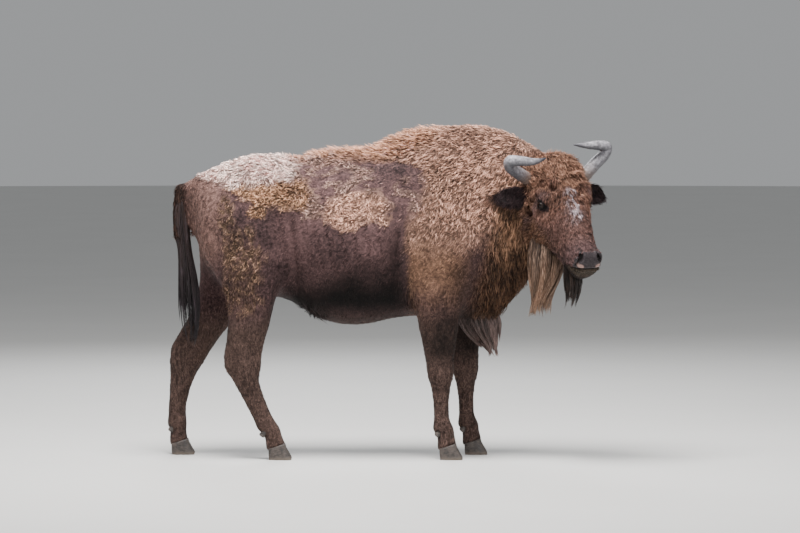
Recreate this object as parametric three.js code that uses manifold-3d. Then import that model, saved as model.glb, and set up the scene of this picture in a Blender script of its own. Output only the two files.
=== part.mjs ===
// A life-size model of a wisent, the European bison, standing still with its head turned to its right.
// Millimetres, +Z up, +X towards the chest, so that the animal's right side is -Y. It stands on z = 0.
// Flesh and coat are lofted to the tips of the hair, and then parted where a person names the body's parts.
import * as THREE from "three";
import Module from "manifold-3d";

// ---- Driving dimensions ----

const HUMP_HEIGHT = 1682; // ground to the top of the hump's coat
const RUMP_HEIGHT = 1524;
const LOIN_HEIGHT = 1512;
const BELLY_HEIGHT = 660;
const BRISKET_HEIGHT = 672;
const CHEST_HALF_WIDTH = 281;
const HIP_HALF_WIDTH = 236;
const HEAD_LENGTH = 640; // top of the poll's wool to the front of the upper lip
const EYE_RADIUS = 22;
const HORN_BASE_RADIUS = 30;
const CLAW_LENGTH = 122;
const CLAW_WIDTH = 54;
const CUT = 0.5; // width of the thin cuts between neighbouring parts of the flesh
const CLEARANCE = 0.5; // round what is set into the flesh, such as a horn or a leg's upper end

// Where the head is: the poll, and how the head is turned about it.
const POLL = new THREE.Vector3(842, -200, 1503);
const HEAD_HEADING = THREE.MathUtils.degToRad(-66); // from straight ahead, negative to the right
const HEAD_DROP = THREE.MathUtils.degToRad(51.5); // the face's slope below level
const HEAD_ROLL = THREE.MathUtils.degToRad(2);

const COAT = { color: 0x6b5344, roughness: 0.92 };
const DARK_COAT = { color: 0x3d312f, roughness: 0.9 };
const PALE_WOOL = { color: 0xa88c74, roughness: 0.95 };
const MUZZLE_SKIN = { color: 0x3a3636, roughness: 0.45 };
const BEARD = { color: 0x7a604b, roughness: 0.95 };
const HORN = { color: 0x85858a, roughness: 0.45 };
const EYE = { color: 0x0d0b0b, roughness: 0.08 };
const HOOF = { color: 0x2b2624, roughness: 0.5 };

// ---- Solids ----

const wasm = await Module();
wasm.setup();

// A closed surface as a solid, whichever way its faces were wound.
function solidOf(positions, triangles) {
  const make = (indices) =>
    new wasm.Manifold(
      new wasm.Mesh({
        numProp: 3,
        vertProperties: new Float32Array(positions),
        triVerts: new Uint32Array(indices),
      }),
    );
  const made = make(triangles);
  if (made.volume() > 0) return made;
  const turned = [];
  for (let i = 0; i < triangles.length; i += 3) {
    turned.push(triangles[i], triangles[i + 2], triangles[i + 1]);
  }
  return make(turned);
}

// A three.js geometry as a solid, with the corners that lie at one place made one.
function solidFrom(geometry) {
  const at = geometry.getAttribute("position");
  const places = new Map();
  const positions = [];
  const merged = [];
  for (let i = 0; i < at.count; i++) {
    const point = [at.getX(i), at.getY(i), at.getZ(i)];
    const key = point.map((v) => Math.round(v * 1000)).join();
    if (!places.has(key)) {
      places.set(key, positions.length / 3);
      positions.push(...point);
    }
    merged.push(places.get(key));
  }
  const order = geometry.index ? Array.from(geometry.index.array) : [...merged.keys()];
  const triangles = [];
  for (let i = 0; i < order.length; i += 3) {
    const [a, b, c] = [0, 1, 2].map((corner) => merged[order[i + corner]]);
    if (a !== b && b !== c && c !== a) triangles.push(a, b, c);
  }
  return solidOf(positions, triangles);
}

function geometryOf(solid) {
  const mesh = solid.getMesh();
  const points = new Float32Array(mesh.numVert * 3);
  for (let i = 0; i < mesh.numVert; i++) {
    const from = i * mesh.numProp;
    points.set(mesh.vertProperties.subarray(from, from + 3), i * 3);
  }
  const geometry = new THREE.BufferGeometry();
  geometry.setAttribute("position", new THREE.BufferAttribute(points, 3));
  geometry.setIndex(new THREE.BufferAttribute(new Uint32Array(mesh.triVerts), 1));
  geometry.computeVertexNormals();
  return geometry;
}

const joined = (solids) => solids.reduce((whole, next) => whole.add(next));
const without = (solid, cutters) => cutters.reduce((left, cutter) => left.subtract(cutter), solid);

// ---- Lofting ----

const UP = new THREE.Vector3(0, 0, 1);
const AHEAD = new THREE.Vector3(1, 0, 0);
const ACROSS = new THREE.Vector3(0, 1, 0);

// A smooth curve through one named size of a row of stations. place runs from 0 to the last one's number.
function smooth(stations, name, place) {
  const last = stations.length - 1;
  const at = Math.min(Math.floor(place), last - 1);
  const value = (i) => stations[Math.min(Math.max(i, 0), last)][name];
  const [a, b, c, d] = [at - 1, at, at + 1, at + 2].map(value);
  const t = place - at;
  const bend = 2 * a - 5 * b + 4 * c - d + t * (3 * (b - c) + d - a);
  return b + 0.5 * t * (c - a + t * bend);
}

// Stations with `between` more of them in each gap, every size following its smooth curve.
function filled(stations, defaults, between) {
  const whole = stations.map((station) => ({ ...defaults, ...station }));
  const names = Object.keys(defaults);
  const count = (whole.length - 1) * (between + 1) + 1;
  return Array.from({ length: count }, (_, i) => {
    const place = i / (between + 1);
    return Object.fromEntries(names.map((name) => [name, smooth(whole, name, place)]));
  });
}

// A row of filled stations carried on past both ends, by grow along the size that they are strung on.
function lengthened(stations, along, grow) {
  const beyond = (end, next) => {
    const share = grow / Math.abs(end[along] - next[along]);
    return Object.fromEntries(
      Object.keys(end).map((name) => [name, end[name] + (end[name] - next[name]) * share]),
    );
  };
  const first = beyond(stations[0], stations[1]);
  const last = beyond(stations.at(-1), stations.at(-2));
  return [first, ...stations.slice(1, -1), last];
}

// A ring in the plane of two axes: `half` to each side along the first, `up` and `down` along the second.
// peak and keel shape its upper and lower halves: 2 is round, less is more pointed and more is boxier.
function ring(centre, side, top, { half, up, down, peak = 2, keel = 2 }, corners) {
  return Array.from({ length: corners }, (_, i) => {
    const angle = (2 * Math.PI * (i + 0.5)) / corners;
    const c = Math.cos(angle);
    const s = Math.sin(angle);
    const power = 2 / (s > 0 ? peak : keel);
    const across = Math.sign(c) * Math.abs(c) ** power * half;
    const above = Math.sign(s) * Math.abs(s) ** power * (s > 0 ? up : down);
    return centre.clone().addScaledVector(side, across).addScaledVector(top, above);
  });
}

// Skins a row of rings, each with as many corners, and closes both ends with a fan.
function skinned(rings) {
  const corners = rings[0].length;
  const positions = [];
  const triangles = [];
  rings.flat().forEach((p) => positions.push(p.x, p.y, p.z));
  for (let r = 0; r + 1 < rings.length; r++) {
    for (let i = 0; i < corners; i++) {
      const a = r * corners + i;
      const b = r * corners + ((i + 1) % corners);
      triangles.push(a, b, b + corners, a, b + corners, a + corners);
    }
  }
  for (const end of [0, rings.length - 1]) {
    const sum = rings[end].reduce((total, p) => total.add(p), new THREE.Vector3());
    const middle = positions.length / 3;
    positions.push(...sum.divideScalar(corners).toArray());
    for (let i = 0; i < corners; i++) {
      const a = end * corners + i;
      const b = end * corners + ((i + 1) % corners);
      triangles.push(...(end === 0 ? [b, a, middle] : [a, b, middle]));
    }
  }
  return solidOf(positions, triangles);
}

// Level sections up or down a limb or a hank of hair: middle, reach fore and aft, half-width, and heading
// in degrees. grow makes the loft a little thicker, to cut room for it in what it is set into.
const LIMB = { x: 0, y: 0, z: 0, reach: 0, half: 0, heading: 0, square: 2.2 };

function limb(stations, { grow = 0, corners = 10, between = 0 } = {}) {
  const rings = lengthened(filled(stations, LIMB, between), "z", grow).map((s) => {
    const turn = THREE.MathUtils.degToRad(s.heading);
    const ahead = AHEAD.clone().applyAxisAngle(UP, turn);
    const across = ACROSS.clone().applyAxisAngle(UP, turn);
    const sides = { up: s.half + grow, down: s.half + grow, peak: s.square, keel: s.square };
    const size = { half: s.reach + grow, ...sides };
    return ring(new THREE.Vector3(s.x, s.y, s.z), ahead, across, size, corners);
  });
  return skinned(rings);
}

// ---- Trunk and neck ----

// Upright sections: x and y place each one, heading turns it in degrees, and `widest` is its widest level.
const TRUNK = [
  { x: -996, top: 1352, bottom: 1262, widest: 1308, half: 24 },
  { x: -978, top: 1392, bottom: 1150, widest: 1290, half: 88 },
  { x: -915, top: 1440, bottom: 960, widest: 1250, half: 158 },
  { x: -820, top: 1482, bottom: 830, widest: 1215, half: 206 },
  { x: -690, top: RUMP_HEIGHT - 2, bottom: 780, widest: 1240, half: HIP_HALF_WIDTH, peak: 2.3 },
  { x: -560, top: RUMP_HEIGHT, bottom: 790, widest: 1240, half: HIP_HALF_WIDTH - 4, peak: 2.4 },
  { x: -465, top: LOIN_HEIGHT - 8, bottom: 762, widest: 1150, half: 234, peak: 2.1 },
  { x: -360, top: LOIN_HEIGHT + 22, bottom: 700, widest: 1080, half: 257 },
  { x: -225, top: 1552, bottom: BELLY_HEIGHT, widest: 1050, half: 275 },
  { x: -85, top: 1556, bottom: BELLY_HEIGHT + 4, widest: 1050, half: CHEST_HALF_WIDTH },
  { x: 30, top: 1612, bottom: 690, widest: 1060, half: 279, peak: 1.92 },
  { x: 165, top: 1656, bottom: 700, widest: 1070, half: 268, peak: 1.88 },
  { x: 300, top: HUMP_HEIGHT - 6, bottom: 694, widest: 1060, half: 248, peak: 1.86 },
  { x: 420, top: HUMP_HEIGHT, bottom: BRISKET_HEIGHT, widest: 1050, half: 229, peak: 1.86 },
  { x: 522, y: -8, heading: -7, top: 1671, bottom: 690, widest: 1080, half: 203, peak: 1.88 },
  { x: 612, y: -34, heading: -20, top: 1642, bottom: 770, widest: 1140, half: 179, peak: 1.9 },
  { x: 684, y: -70, heading: -34, top: 1602, bottom: 872, widest: 1210, half: 161 },
  { x: 738, y: -108, heading: -48, top: 1562, bottom: 985, widest: 1270, half: 147 },
  { x: 778, y: -145, heading: -58, top: 1515, bottom: 1085, widest: 1300, half: 124 },
  { x: 800, y: -168, heading: -64, top: 1440, bottom: 1160, widest: 1300, half: 80 },
];
const SECTION = { x: 0, y: 0, heading: 0, top: 0, bottom: 0, widest: 0, half: 0, peak: 2, keel: 2.1 };
const TRUNK_CORNERS = 20;

function trunk() {
  const rings = filled(TRUNK, SECTION, 1).map((s) => {
    const across = ACROSS.clone().applyAxisAngle(UP, THREE.MathUtils.degToRad(s.heading));
    const size = { ...s, up: s.top - s.widest, down: s.widest - s.bottom };
    return ring(new THREE.Vector3(s.x, s.y, s.widest), across, UP, size, TRUNK_CORNERS);
  });
  return skinned(rings);
}

// ---- Legs ----

const FORE_RIGHT = [
  { x: 205, y: -96, z: 1500, reach: 40, half: 30 },
  { x: 225, y: -130, z: 1420, reach: 105, half: 66 },
  { x: 262, y: -160, z: 1270, reach: 165, half: 92 },
  { x: 300, y: -171, z: 1100, reach: 200, half: 112 },
  { x: 305, y: -168, z: 950, reach: 200, half: 118 },
  { x: 262, y: -165, z: 830, reach: 172, half: 106 },
  { x: 255, y: -160, z: 720, reach: 120, half: 88 },
  { x: 258, y: -155, z: 620, reach: 94, half: 76 },
  { x: 261, y: -150, z: 520, reach: 78, half: 62 },
  { x: 266, y: -146, z: 430, reach: 65, half: 57 },
  { x: 267, y: -143, z: 360, reach: 50, half: 45 },
  { x: 269, y: -141, z: 280, reach: 41, half: 37 },
  { x: 272, y: -141, z: 205, reach: 41, half: 37 },
  { x: 280, y: -141, z: 150, reach: 52, half: 47 },
  { x: 296, y: -141, z: 100, reach: 46, half: 44 },
  { x: 306, y: -141, z: 36, reach: 60, half: 54 },
];
const HIND_RIGHT = [
  { x: -700, y: -105, z: 1420, reach: 110, half: 55 },
  { x: -738, y: -136, z: 1320, reach: 185, half: 94 },
  { x: -745, y: -154, z: 1180, reach: 213, half: 112 },
  { x: -722, y: -160, z: 1040, reach: 205, half: 118 },
  { x: -688, y: -164, z: 920, reach: 178, half: 112 },
  { x: -672, y: -162, z: 810, reach: 142, half: 98 },
  { x: -680, y: -158, z: 710, reach: 115, half: 82 },
  { x: -698, y: -155, z: 610, reach: 100, half: 68 },
  { x: -716, y: -152, z: 520, reach: 97, half: 58 },
  { x: -716, y: -150, z: 450, reach: 88, half: 54 },
  { x: -698, y: -148, z: 385, reach: 66, half: 48 },
  { x: -665, y: -147, z: 310, reach: 58, half: 42 },
  { x: -628, y: -146, z: 230, reach: 54, half: 39 },
  { x: -590, y: -145, z: 158, reach: 56, half: 46 },
  { x: -560, y: -145, z: 102, reach: 47, half: 44 },
  { x: -544, y: -145, z: 36, reach: 60, half: 54 },
];
const HIND_LEFT = [
  { x: -700, y: 105, z: 1420, reach: 110, half: 55 },
  { x: -748, y: 136, z: 1320, reach: 185, half: 94 },
  { x: -762, y: 154, z: 1180, reach: 208, half: 112 },
  { x: -765, y: 160, z: 1040, reach: 200, half: 118 },
  { x: -775, y: 164, z: 920, reach: 180, half: 112 },
  { x: -815, y: 162, z: 810, reach: 150, half: 98 },
  { x: -868, y: 158, z: 710, reach: 128, half: 82 },
  { x: -930, y: 155, z: 620, reach: 116, half: 68 },
  { x: -980, y: 152, z: 545, reach: 110, half: 58 },
  { x: -1006, y: 150, z: 475, reach: 88, half: 54 },
  { x: -1026, y: 148, z: 405, reach: 68, half: 48 },
  { x: -1043, y: 147, z: 330, reach: 55, half: 42 },
  { x: -1056, y: 146, z: 245, reach: 47, half: 39 },
  { x: -1058, y: 145, z: 160, reach: 48, half: 46 },
  { x: -1052, y: 145, z: 104, reach: 44, half: 44 },
  { x: -1040, y: 145, z: 36, reach: 60, half: 54 },
];

// The left foreleg stands a short step ahead of the right one, growing from the shoulder to the knee.
const FORE_STEP = 128;
const STEP_TOP = 1300;
const STEP_DEPTH = 850;
const FORE_LEFT = FORE_RIGHT.map((station) => {
  const share = THREE.MathUtils.smoothstep(STEP_TOP - station.z, 0, STEP_DEPTH);
  return { ...station, x: station.x + FORE_STEP * share, y: -station.y };
});

// Where each leg is cut across: at the elbow or stifle, the knee or hock, and the fetlock.
const LEGS = {
  fore_right: { stations: FORE_RIGHT, side: -1, cuts: [800, 455, 178], names: ["shoulder", "forearm"] },
  fore_left: { stations: FORE_LEFT, side: 1, cuts: [800, 455, 178], names: ["shoulder", "forearm"] },
  hind_right: { stations: HIND_RIGHT, side: -1, cuts: [835, 425, 185], names: ["thigh", "gaskin"] },
  hind_left: { stations: HIND_LEFT, side: 1, cuts: [835, 425, 185], names: ["thigh", "gaskin"] },
};

// ---- Hooves ----

// One claw: level sections from the flat sole up to above the coronet, which cuts it off on a slant.
const CLAW = [
  { rise: 0, back: 0, length: CLAW_LENGTH - 5, width: CLAW_WIDTH - 3 },
  { rise: 8, back: 0, length: CLAW_LENGTH, width: CLAW_WIDTH },
  { rise: 45, back: 11, length: CLAW_LENGTH - 20, width: CLAW_WIDTH - 2 },
  { rise: 92, back: 24, length: CLAW_LENGTH - 46, width: CLAW_WIDTH - 8 },
];
const CLAW_SPACING = 57; // between the middles of a foot's two claws
const CLAW_AHEAD = 14; // the sole's middle ahead of the leg's last section
const CLAW_CORNERS = 8;
const CORONET_HEIGHT = 62; // under the middle of the foot
const CORONET_SLANT = new THREE.Vector3(-0.32, 0, 1); // higher at the toe than at the heel
const TOE_OUT = 4; // degrees that each claw points away from the other

function claw(foot, outward, side) {
  const turn = THREE.MathUtils.degToRad(TOE_OUT * outward * side);
  const ahead = AHEAD.clone().applyAxisAngle(UP, turn);
  const across = ACROSS.clone().applyAxisAngle(UP, turn);
  const middle = new THREE.Vector3(foot.x + CLAW_AHEAD, foot.y, 0);
  middle.addScaledVector(ACROSS, (side * outward * CLAW_SPACING) / 2);
  const rings = CLAW.map(({ rise, back, length, width }) => {
    const centre = middle.clone().addScaledVector(ahead, -back).addScaledVector(UP, rise);
    const size = { half: length / 2, up: width / 2, down: width / 2, peak: 2.5, keel: 2.5 };
    return ring(centre, ahead, across, size, CLAW_CORNERS);
  });
  return skinned(rings);
}

// A dewclaw is a small blunt cone behind the fetlock, pointing down and back. Its root is sunk in a little.
const DEWCLAW_CORNERS = 6;
const DEWCLAW = { length: 44, radius: 17, behind: 34, height: 118, spread: 23, root: 4 };
const DEWCLAW_SHOULDER = { radius: 0.7, length: 0.85 }; // where it rounds off, as shares of its sizes
const DEWCLAW_AIM = THREE.MathUtils.degToRad(-140); // from straight ahead, turning down and then back

function dewclaw(fetlock, outward, side, grow = 0) {
  const profile = [
    [0, DEWCLAW.length],
    [DEWCLAW.radius * DEWCLAW_SHOULDER.radius, DEWCLAW.length * DEWCLAW_SHOULDER.length],
    [DEWCLAW.radius, 0],
    [0, -DEWCLAW.root],
  ];
  const points = profile.map(([r, along]) => new THREE.Vector2(r && r + grow, along));
  const shape = new THREE.LatheGeometry(points, DEWCLAW_CORNERS);
  shape.rotateX(-Math.PI / 2);
  shape.rotateY(DEWCLAW_AIM);
  const y = fetlock.y + side * outward * DEWCLAW.spread;
  shape.translate(fetlock.x - DEWCLAW.behind, y, DEWCLAW.height);
  return solidFrom(shape);
}

// ---- Tail ----

const DOCK = [
  { x: -940, z: 1408, reach: 30, half: 24 },
  { x: -975, z: 1388, reach: 40, half: 32 },
  { x: -1008, z: 1352, reach: 46, half: 37 },
  { x: -1024, z: 1290, reach: 43, half: 36 },
  { x: -1030, z: 1215, reach: 41, half: 33 },
  { x: -1027, z: 1130, reach: 41, half: 33 },
  { x: -1012, z: 1045, reach: 47, half: 36 },
  { x: -998, z: 950, reach: 57, half: 42 },
  { x: -990, z: 850, reach: 64, half: 46 },
  { x: -987, z: 750, reach: 63, half: 45 },
  { x: -992, z: 645, reach: 53, half: 38 },
  { x: -990, z: 570, reach: 36, half: 26 },
  { x: -978, z: 520, reach: 12, half: 10 },
];
const DOCK_CLEARANCE = 1; // more than elsewhere, because the tail leaves the rump on a flat slope
const SWITCH_TOP = 1100; // where the tail's short coat ends and its long hair starts

// ---- Long hair under the head, neck and chest ----

const CHIN_BEARD = [
  { x: 905, y: -372, z: 985, reach: 26, half: 34, heading: -66 },
  { x: 914, y: -385, z: 925, reach: 58, half: 58, heading: -66 },
  { x: 916, y: -392, z: 860, reach: 58, half: 62, heading: -66 },
  { x: 908, y: -388, z: 805, reach: 42, half: 50, heading: -66 },
  { x: 895, y: -380, z: 758, reach: 20, half: 24, heading: -66 },
];
const THROAT_BEARD = [
  { x: 800, y: -165, z: 1130, reach: 60, half: 60, heading: -50 },
  { x: 796, y: -198, z: 1030, reach: 130, half: 82, heading: -50 },
  { x: 782, y: -208, z: 930, reach: 120, half: 76, heading: -50 },
  { x: 766, y: -206, z: 830, reach: 88, half: 62, heading: -50 },
  { x: 760, y: -200, z: 760, reach: 54, half: 42, heading: -50 },
  { x: 756, y: -196, z: 714, reach: 22, half: 18, heading: -50 },
];
const BRISKET_FRINGE = [
  { x: 440, y: -4, z: 740, reach: 90, half: 60 },
  { x: 462, y: -6, z: 680, reach: 122, half: 84 },
  { x: 478, y: -8, z: 620, reach: 100, half: 66 },
  { x: 505, y: -10, z: 565, reach: 68, half: 42 },
  { x: 522, y: -10, z: 525, reach: 44, half: 24 },
  { x: 526, y: -10, z: 502, reach: 20, half: 10 },
];

// ---- Head ----

// The head's own axes: `down` runs from the poll to the nose, `out` away from the face, `left` to its left.
const forward = AHEAD.clone().applyAxisAngle(UP, HEAD_HEADING);
const level = forward.clone().multiplyScalar(Math.cos(HEAD_DROP));
const down = level.addScaledVector(UP, -Math.sin(HEAD_DROP));
const left = new THREE.Vector3().crossVectors(UP, forward);
const out = new THREE.Vector3().crossVectors(down, left);
left.applyAxisAngle(down, HEAD_ROLL);
out.applyAxisAngle(down, HEAD_ROLL);

// A point of the head, from how far it is down the face, out of it and to the left.
const inHead = ([s, f, l]) =>
  POLL.clone().addScaledVector(down, s).addScaledVector(out, f).addScaledVector(left, l);

// Sections across the head: s runs down the face, brow and throat are its two edges, half its half-width.
const HEAD = [
  { s: -66, brow: -40, throat: -120, half: 56 },
  { s: -48, brow: 8, throat: -175, half: 100 },
  { s: -8, brow: 42, throat: -222, half: 138, peak: 2.4 },
  { s: 55, brow: 56, throat: -255, half: 156, peak: 2.5 },
  { s: 125, brow: 48, throat: -280, half: 152, peak: 2.5 },
  { s: 190, brow: 30, throat: -296, half: 144, peak: 2.3 },
  { s: 240, brow: 16, throat: -304, half: 140, peak: 2.2, keel: 2.3 },
  { s: 300, brow: 8, throat: -300, half: 126, keel: 2.7 },
  { s: 365, brow: 4, throat: -276, half: 108, keel: 2.8 },
  { s: 435, brow: 2, throat: -246, half: 92, keel: 2.7 },
  { s: 505, brow: 3, throat: -220, half: 82, keel: 2.4 },
  { s: 560, brow: 7, throat: -202, half: 79, peak: 2.3 },
  { s: 602, brow: 1, throat: -190, half: 76, peak: 2.6 },
  { s: HEAD_LENGTH - 14, brow: -22, throat: -168, half: 62, peak: 2.5 },
  { s: HEAD_LENGTH, brow: -58, throat: -136, half: 36, peak: 2.2 },
];
const HEAD_SECTION = { s: 0, brow: 0, throat: 0, half: 0, peak: 2, keel: 2 };
const HEAD_CORNERS = 18;
const WIDEST_AT = 0.42; // share of a section's depth, below the brow, where it is widest

function skull(grow = 0) {
  const rings = lengthened(filled(HEAD, HEAD_SECTION, 0), "s", grow).map((s) => {
    const depth = s.brow - s.throat;
    const up = depth * WIDEST_AT;
    const centre = inHead([s.s, s.brow - up, 0]);
    const size = { ...s, half: s.half + grow, up: up + grow, down: depth - up + grow };
    return ring(centre, left, out, size, HEAD_CORNERS);
  });
  return skinned(rings);
}

// An ellipsoid on the head, with its three radii down the face, out of it and across it.
function mound(centre, radii, grow = 0, detail = 8) {
  const sphere = new THREE.SphereGeometry(1, detail, Math.round(detail * 0.7));
  const grown = radii.map((radius) => radius + grow);
  const place = new THREE.Matrix4().makeBasis(down, out, left).scale(new THREE.Vector3(...grown));
  sphere.applyMatrix4(place.setPosition(inHead(centre)));
  return solidFrom(sphere);
}

// What is alike on both sides of the head: places are down the face, out of it, and away from its middle.
const EYE_PLACE = [229, -80, 124];
const BROW = { centre: [200, -58, 88], radii: [74, 56, 58] };
const CHEEK = { centre: [268, -195, 76], radii: [112, 98, 56] };
const NOSTRIL_WING = { centre: [584, -26, 40], radii: [36, 32, 36] };
const NOSTRIL = { centre: [592, -8, 54], radii: [20, 13, 12] };
const CHIN = { centre: [578, -162, 0], radii: [44, 40, 46] };

const onSide = (side, [s, f, l]) => [s, f, side * l];

const pairOf = ({ centre, radii }, grow) =>
  [-1, 1].map((side) => mound(onSide(side, centre), radii, grow));

function headFlesh() {
  const paired = [BROW, CHEEK, NOSTRIL_WING].flatMap((pair) => pairOf(pair, 0));
  return joined([skull(), ...paired, mound(CHIN.centre, CHIN.radii)]);
}

// Ears: leaf-shaped cups. Each ring is a section square to the ear's own axis, from its root to its tip.
const EAR = { root: [136, -128, 118], aim: [-0.2, -0.28, 0.94], length: 194, width: 53, depth: 26 };
const EAR_SHAPE = [0.5, 0.8, 1, 1, 0.84, 0.36];
const EAR_CORNERS = 8;
const EAR_BOWL = { from: 0.34, width: 0.76, depth: 0.85, shift: 0.62 };

function earAxes(side) {
  const [s, f, l] = EAR.aim;
  const axis = new THREE.Vector3().addScaledVector(down, s).addScaledVector(out, f);
  axis.addScaledVector(left, side * l).normalize();
  const mouth = out.clone().addScaledVector(down, 0.35).addScaledVector(left, side * 0.1);
  mouth.addScaledVector(axis, -mouth.dot(axis)).normalize();
  return { axis, mouth, broad: new THREE.Vector3().crossVectors(axis, mouth) };
}

function ear(side, grow = 0) {
  const { axis, mouth, broad } = earAxes(side);
  const root = inHead(onSide(side, EAR.root));
  const last = EAR_SHAPE.length - 1;
  const rings = (from, width, depth, shift, more) =>
    EAR_SHAPE.map((share, i) => {
      const along = from + (i / last) * (1 - from);
      const centre = root.clone().addScaledVector(axis, along * EAR.length);
      centre.addScaledVector(mouth, shift * EAR.depth);
      const deep = EAR.depth * depth * share + more;
      const size = { half: EAR.width * width * share + more, up: deep, down: deep };
      return ring(centre, broad, mouth, size, EAR_CORNERS);
    });
  const leaf = skinned(rings(0, 1, 1, 0, grow));
  if (grow > 0) return leaf;
  const { from, width, depth, shift } = EAR_BOWL;
  return leaf.subtract(skinned(rings(from, width, depth, shift, 0)));
}

// Horns: round sections along a curve of hand-placed points, out, forward and then in over the face.
const HORN_CURVES = {
  right: [
    [68, -110, -116],
    [56, -84, -160],
    [48, -42, -220],
    [42, -4, -266],
    [36, 30, -274],
    [50, 50, -232],
    [62, 56, -178],
    [56, 62, -134],
    [40, 68, -92],
  ],
  left: [
    [68, -110, 116],
    [56, -84, 160],
    [16, -42, 218],
    [-12, -8, 262],
    [-34, 22, 272],
    [-38, 36, 228],
    [-42, 34, 170],
    [-52, 30, 94],
  ],
};
const HORN_STEPS = 13;
const HORN_TIP_RADIUS = 3;
const HORN_TAPER = 0.24;
const HORN_FULLNESS = 5; // higher keeps the horn thick nearer to its tip
const HORN_CORNERS = 8;

function horn(name, grow = 0) {
  const curve = new THREE.CatmullRomCurve3(HORN_CURVES[name].map(inHead), false, "centripetal");
  const rings = Array.from({ length: HORN_STEPS + 1 }, (_, i) => {
    const along = i / HORN_STEPS;
    const tangent = curve.getTangentAt(along);
    const side = new THREE.Vector3().crossVectors(tangent, down).normalize();
    const top = new THREE.Vector3().crossVectors(side, tangent);
    const taper = (1 - HORN_TAPER * along) * (1 - along ** HORN_FULLNESS);
    const radius = HORN_TIP_RADIUS + (HORN_BASE_RADIUS - HORN_TIP_RADIUS) * taper + grow;
    const size = { half: radius, up: radius, down: radius };
    return ring(curve.getPointAt(along), side, top, size, HORN_CORNERS);
  });
  return skinned(rings);
}

const eyeball = (side, grow = 0) =>
  mound(onSide(side, EYE_PLACE), [EYE_RADIUS, EYE_RADIUS, EYE_RADIUS], grow, 9);

// ---- Cuts ----

const FAR = 4000;

// Everything on the near side of a plane, as a big block. The plane passes through point, and normal leaves
// the kept side.
function halfSpace(point, normal) {
  const block = new THREE.BoxGeometry(FAR, FAR, FAR);
  block.translate(0, 0, -FAR / 2);
  const turn = new THREE.Quaternion().setFromUnitVectors(UP, normal.clone().normalize());
  block.applyQuaternion(turn);
  block.translate(point.x, point.y, point.z);
  return solidFrom(block);
}

// Cuts a solid into two with a thin cut: first what is behind the plane, then what is ahead of it.
function parted(solid, point, normal) {
  const step = normal.clone().normalize().multiplyScalar(CUT / 2);
  const behind = solid.intersect(halfSpace(point.clone().sub(step), normal));
  const ahead = solid.intersect(halfSpace(point.clone().add(step), normal.clone().negate()));
  return [behind, ahead];
}

const headedTo = (heading) => AHEAD.clone().applyAxisAngle(UP, THREE.MathUtils.degToRad(heading));

// ---- The animal ----

const wisent = new THREE.Group();

function place(name, solid, { color, roughness }) {
  const finish = new THREE.MeshStandardMaterial({ color, roughness, metalness: 0 });
  const mesh = new THREE.Mesh(geometryOf(solid), finish);
  mesh.name = name;
  wisent.add(mesh);
}

const SIDES = { right: -1, left: 1 };

// What is set into the flesh is made first, once as it is and once a little larger to cut its room.
const horns = Object.keys(SIDES).map((name) => ({ name, solid: horn(name), room: horn(name, CLEARANCE) }));
const eyes = Object.entries(SIDES).map(([name, side]) => ({
  name,
  solid: eyeball(side),
  room: eyeball(side, CLEARANCE),
}));
const rooms = (pieces) => pieces.map(({ room }) => room);

const dressing = {
  chin_beard: { solid: limb(CHIN_BEARD), finish: DARK_COAT },
  throat_beard: { solid: limb(THROAT_BEARD), finish: BEARD },
  brisket_fringe: { solid: limb(BRISKET_FRINGE), finish: BEARD },
};

const headRoom = joined([skull(CLEARANCE), ...pairOf(CHEEK, CLEARANCE)]);
const chinRoom = mound(CHIN.centre, CHIN.radii, CLEARANCE);
const ears = Object.entries(SIDES).map(([name, side]) => ({
  name,
  solid: ear(side).subtract(headRoom),
  room: ear(side, CLEARANCE),
}));
const flesh = without(headFlesh(), [...rooms(horns), ...rooms(eyes)]);

// The nostrils are hollowed out, the mouth line parts the jaw, and a cut round the nose parts the muzzle.
const nostrils = [-1, 1].map((side) => mound(onSide(side, NOSTRIL.centre), NOSTRIL.radii));
const FACE_FROM = inHead([330, 0, 0]);
const MUZZLE_FROM = inHead([548, 0, 0]);
const MOUTH_FRONT = inHead([HEAD_LENGTH - 4, -82, 0]);
const MOUTH_TILT = -Math.asin(0.6); // the mouth line's slope away from the face, about the head's left
const MOUTH_SLOPE = out.clone().applyAxisAngle(left, MOUTH_TILT);

const [face, nose] = parted(without(flesh, nostrils), MUZZLE_FROM, down);
const [jawTip, muzzle] = parted(nose, MOUTH_FRONT, MOUTH_SLOPE);
const [headBack, faceFront] = parted(face, FACE_FROM, down);
place("head", headBack, COAT);
place("face", faceFront, COAT);
place("muzzle", muzzle, MUZZLE_SKIN);
place("chin", jawTip, COAT);
horns.forEach(({ name, solid }) => place(`horn_${name}`, solid, HORN));
eyes.forEach(({ name, solid }) => place(`eye_${name}`, solid, EYE));
ears.forEach(({ name, solid }) => place(`ear_${name}`, solid, DARK_COAT));

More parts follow.
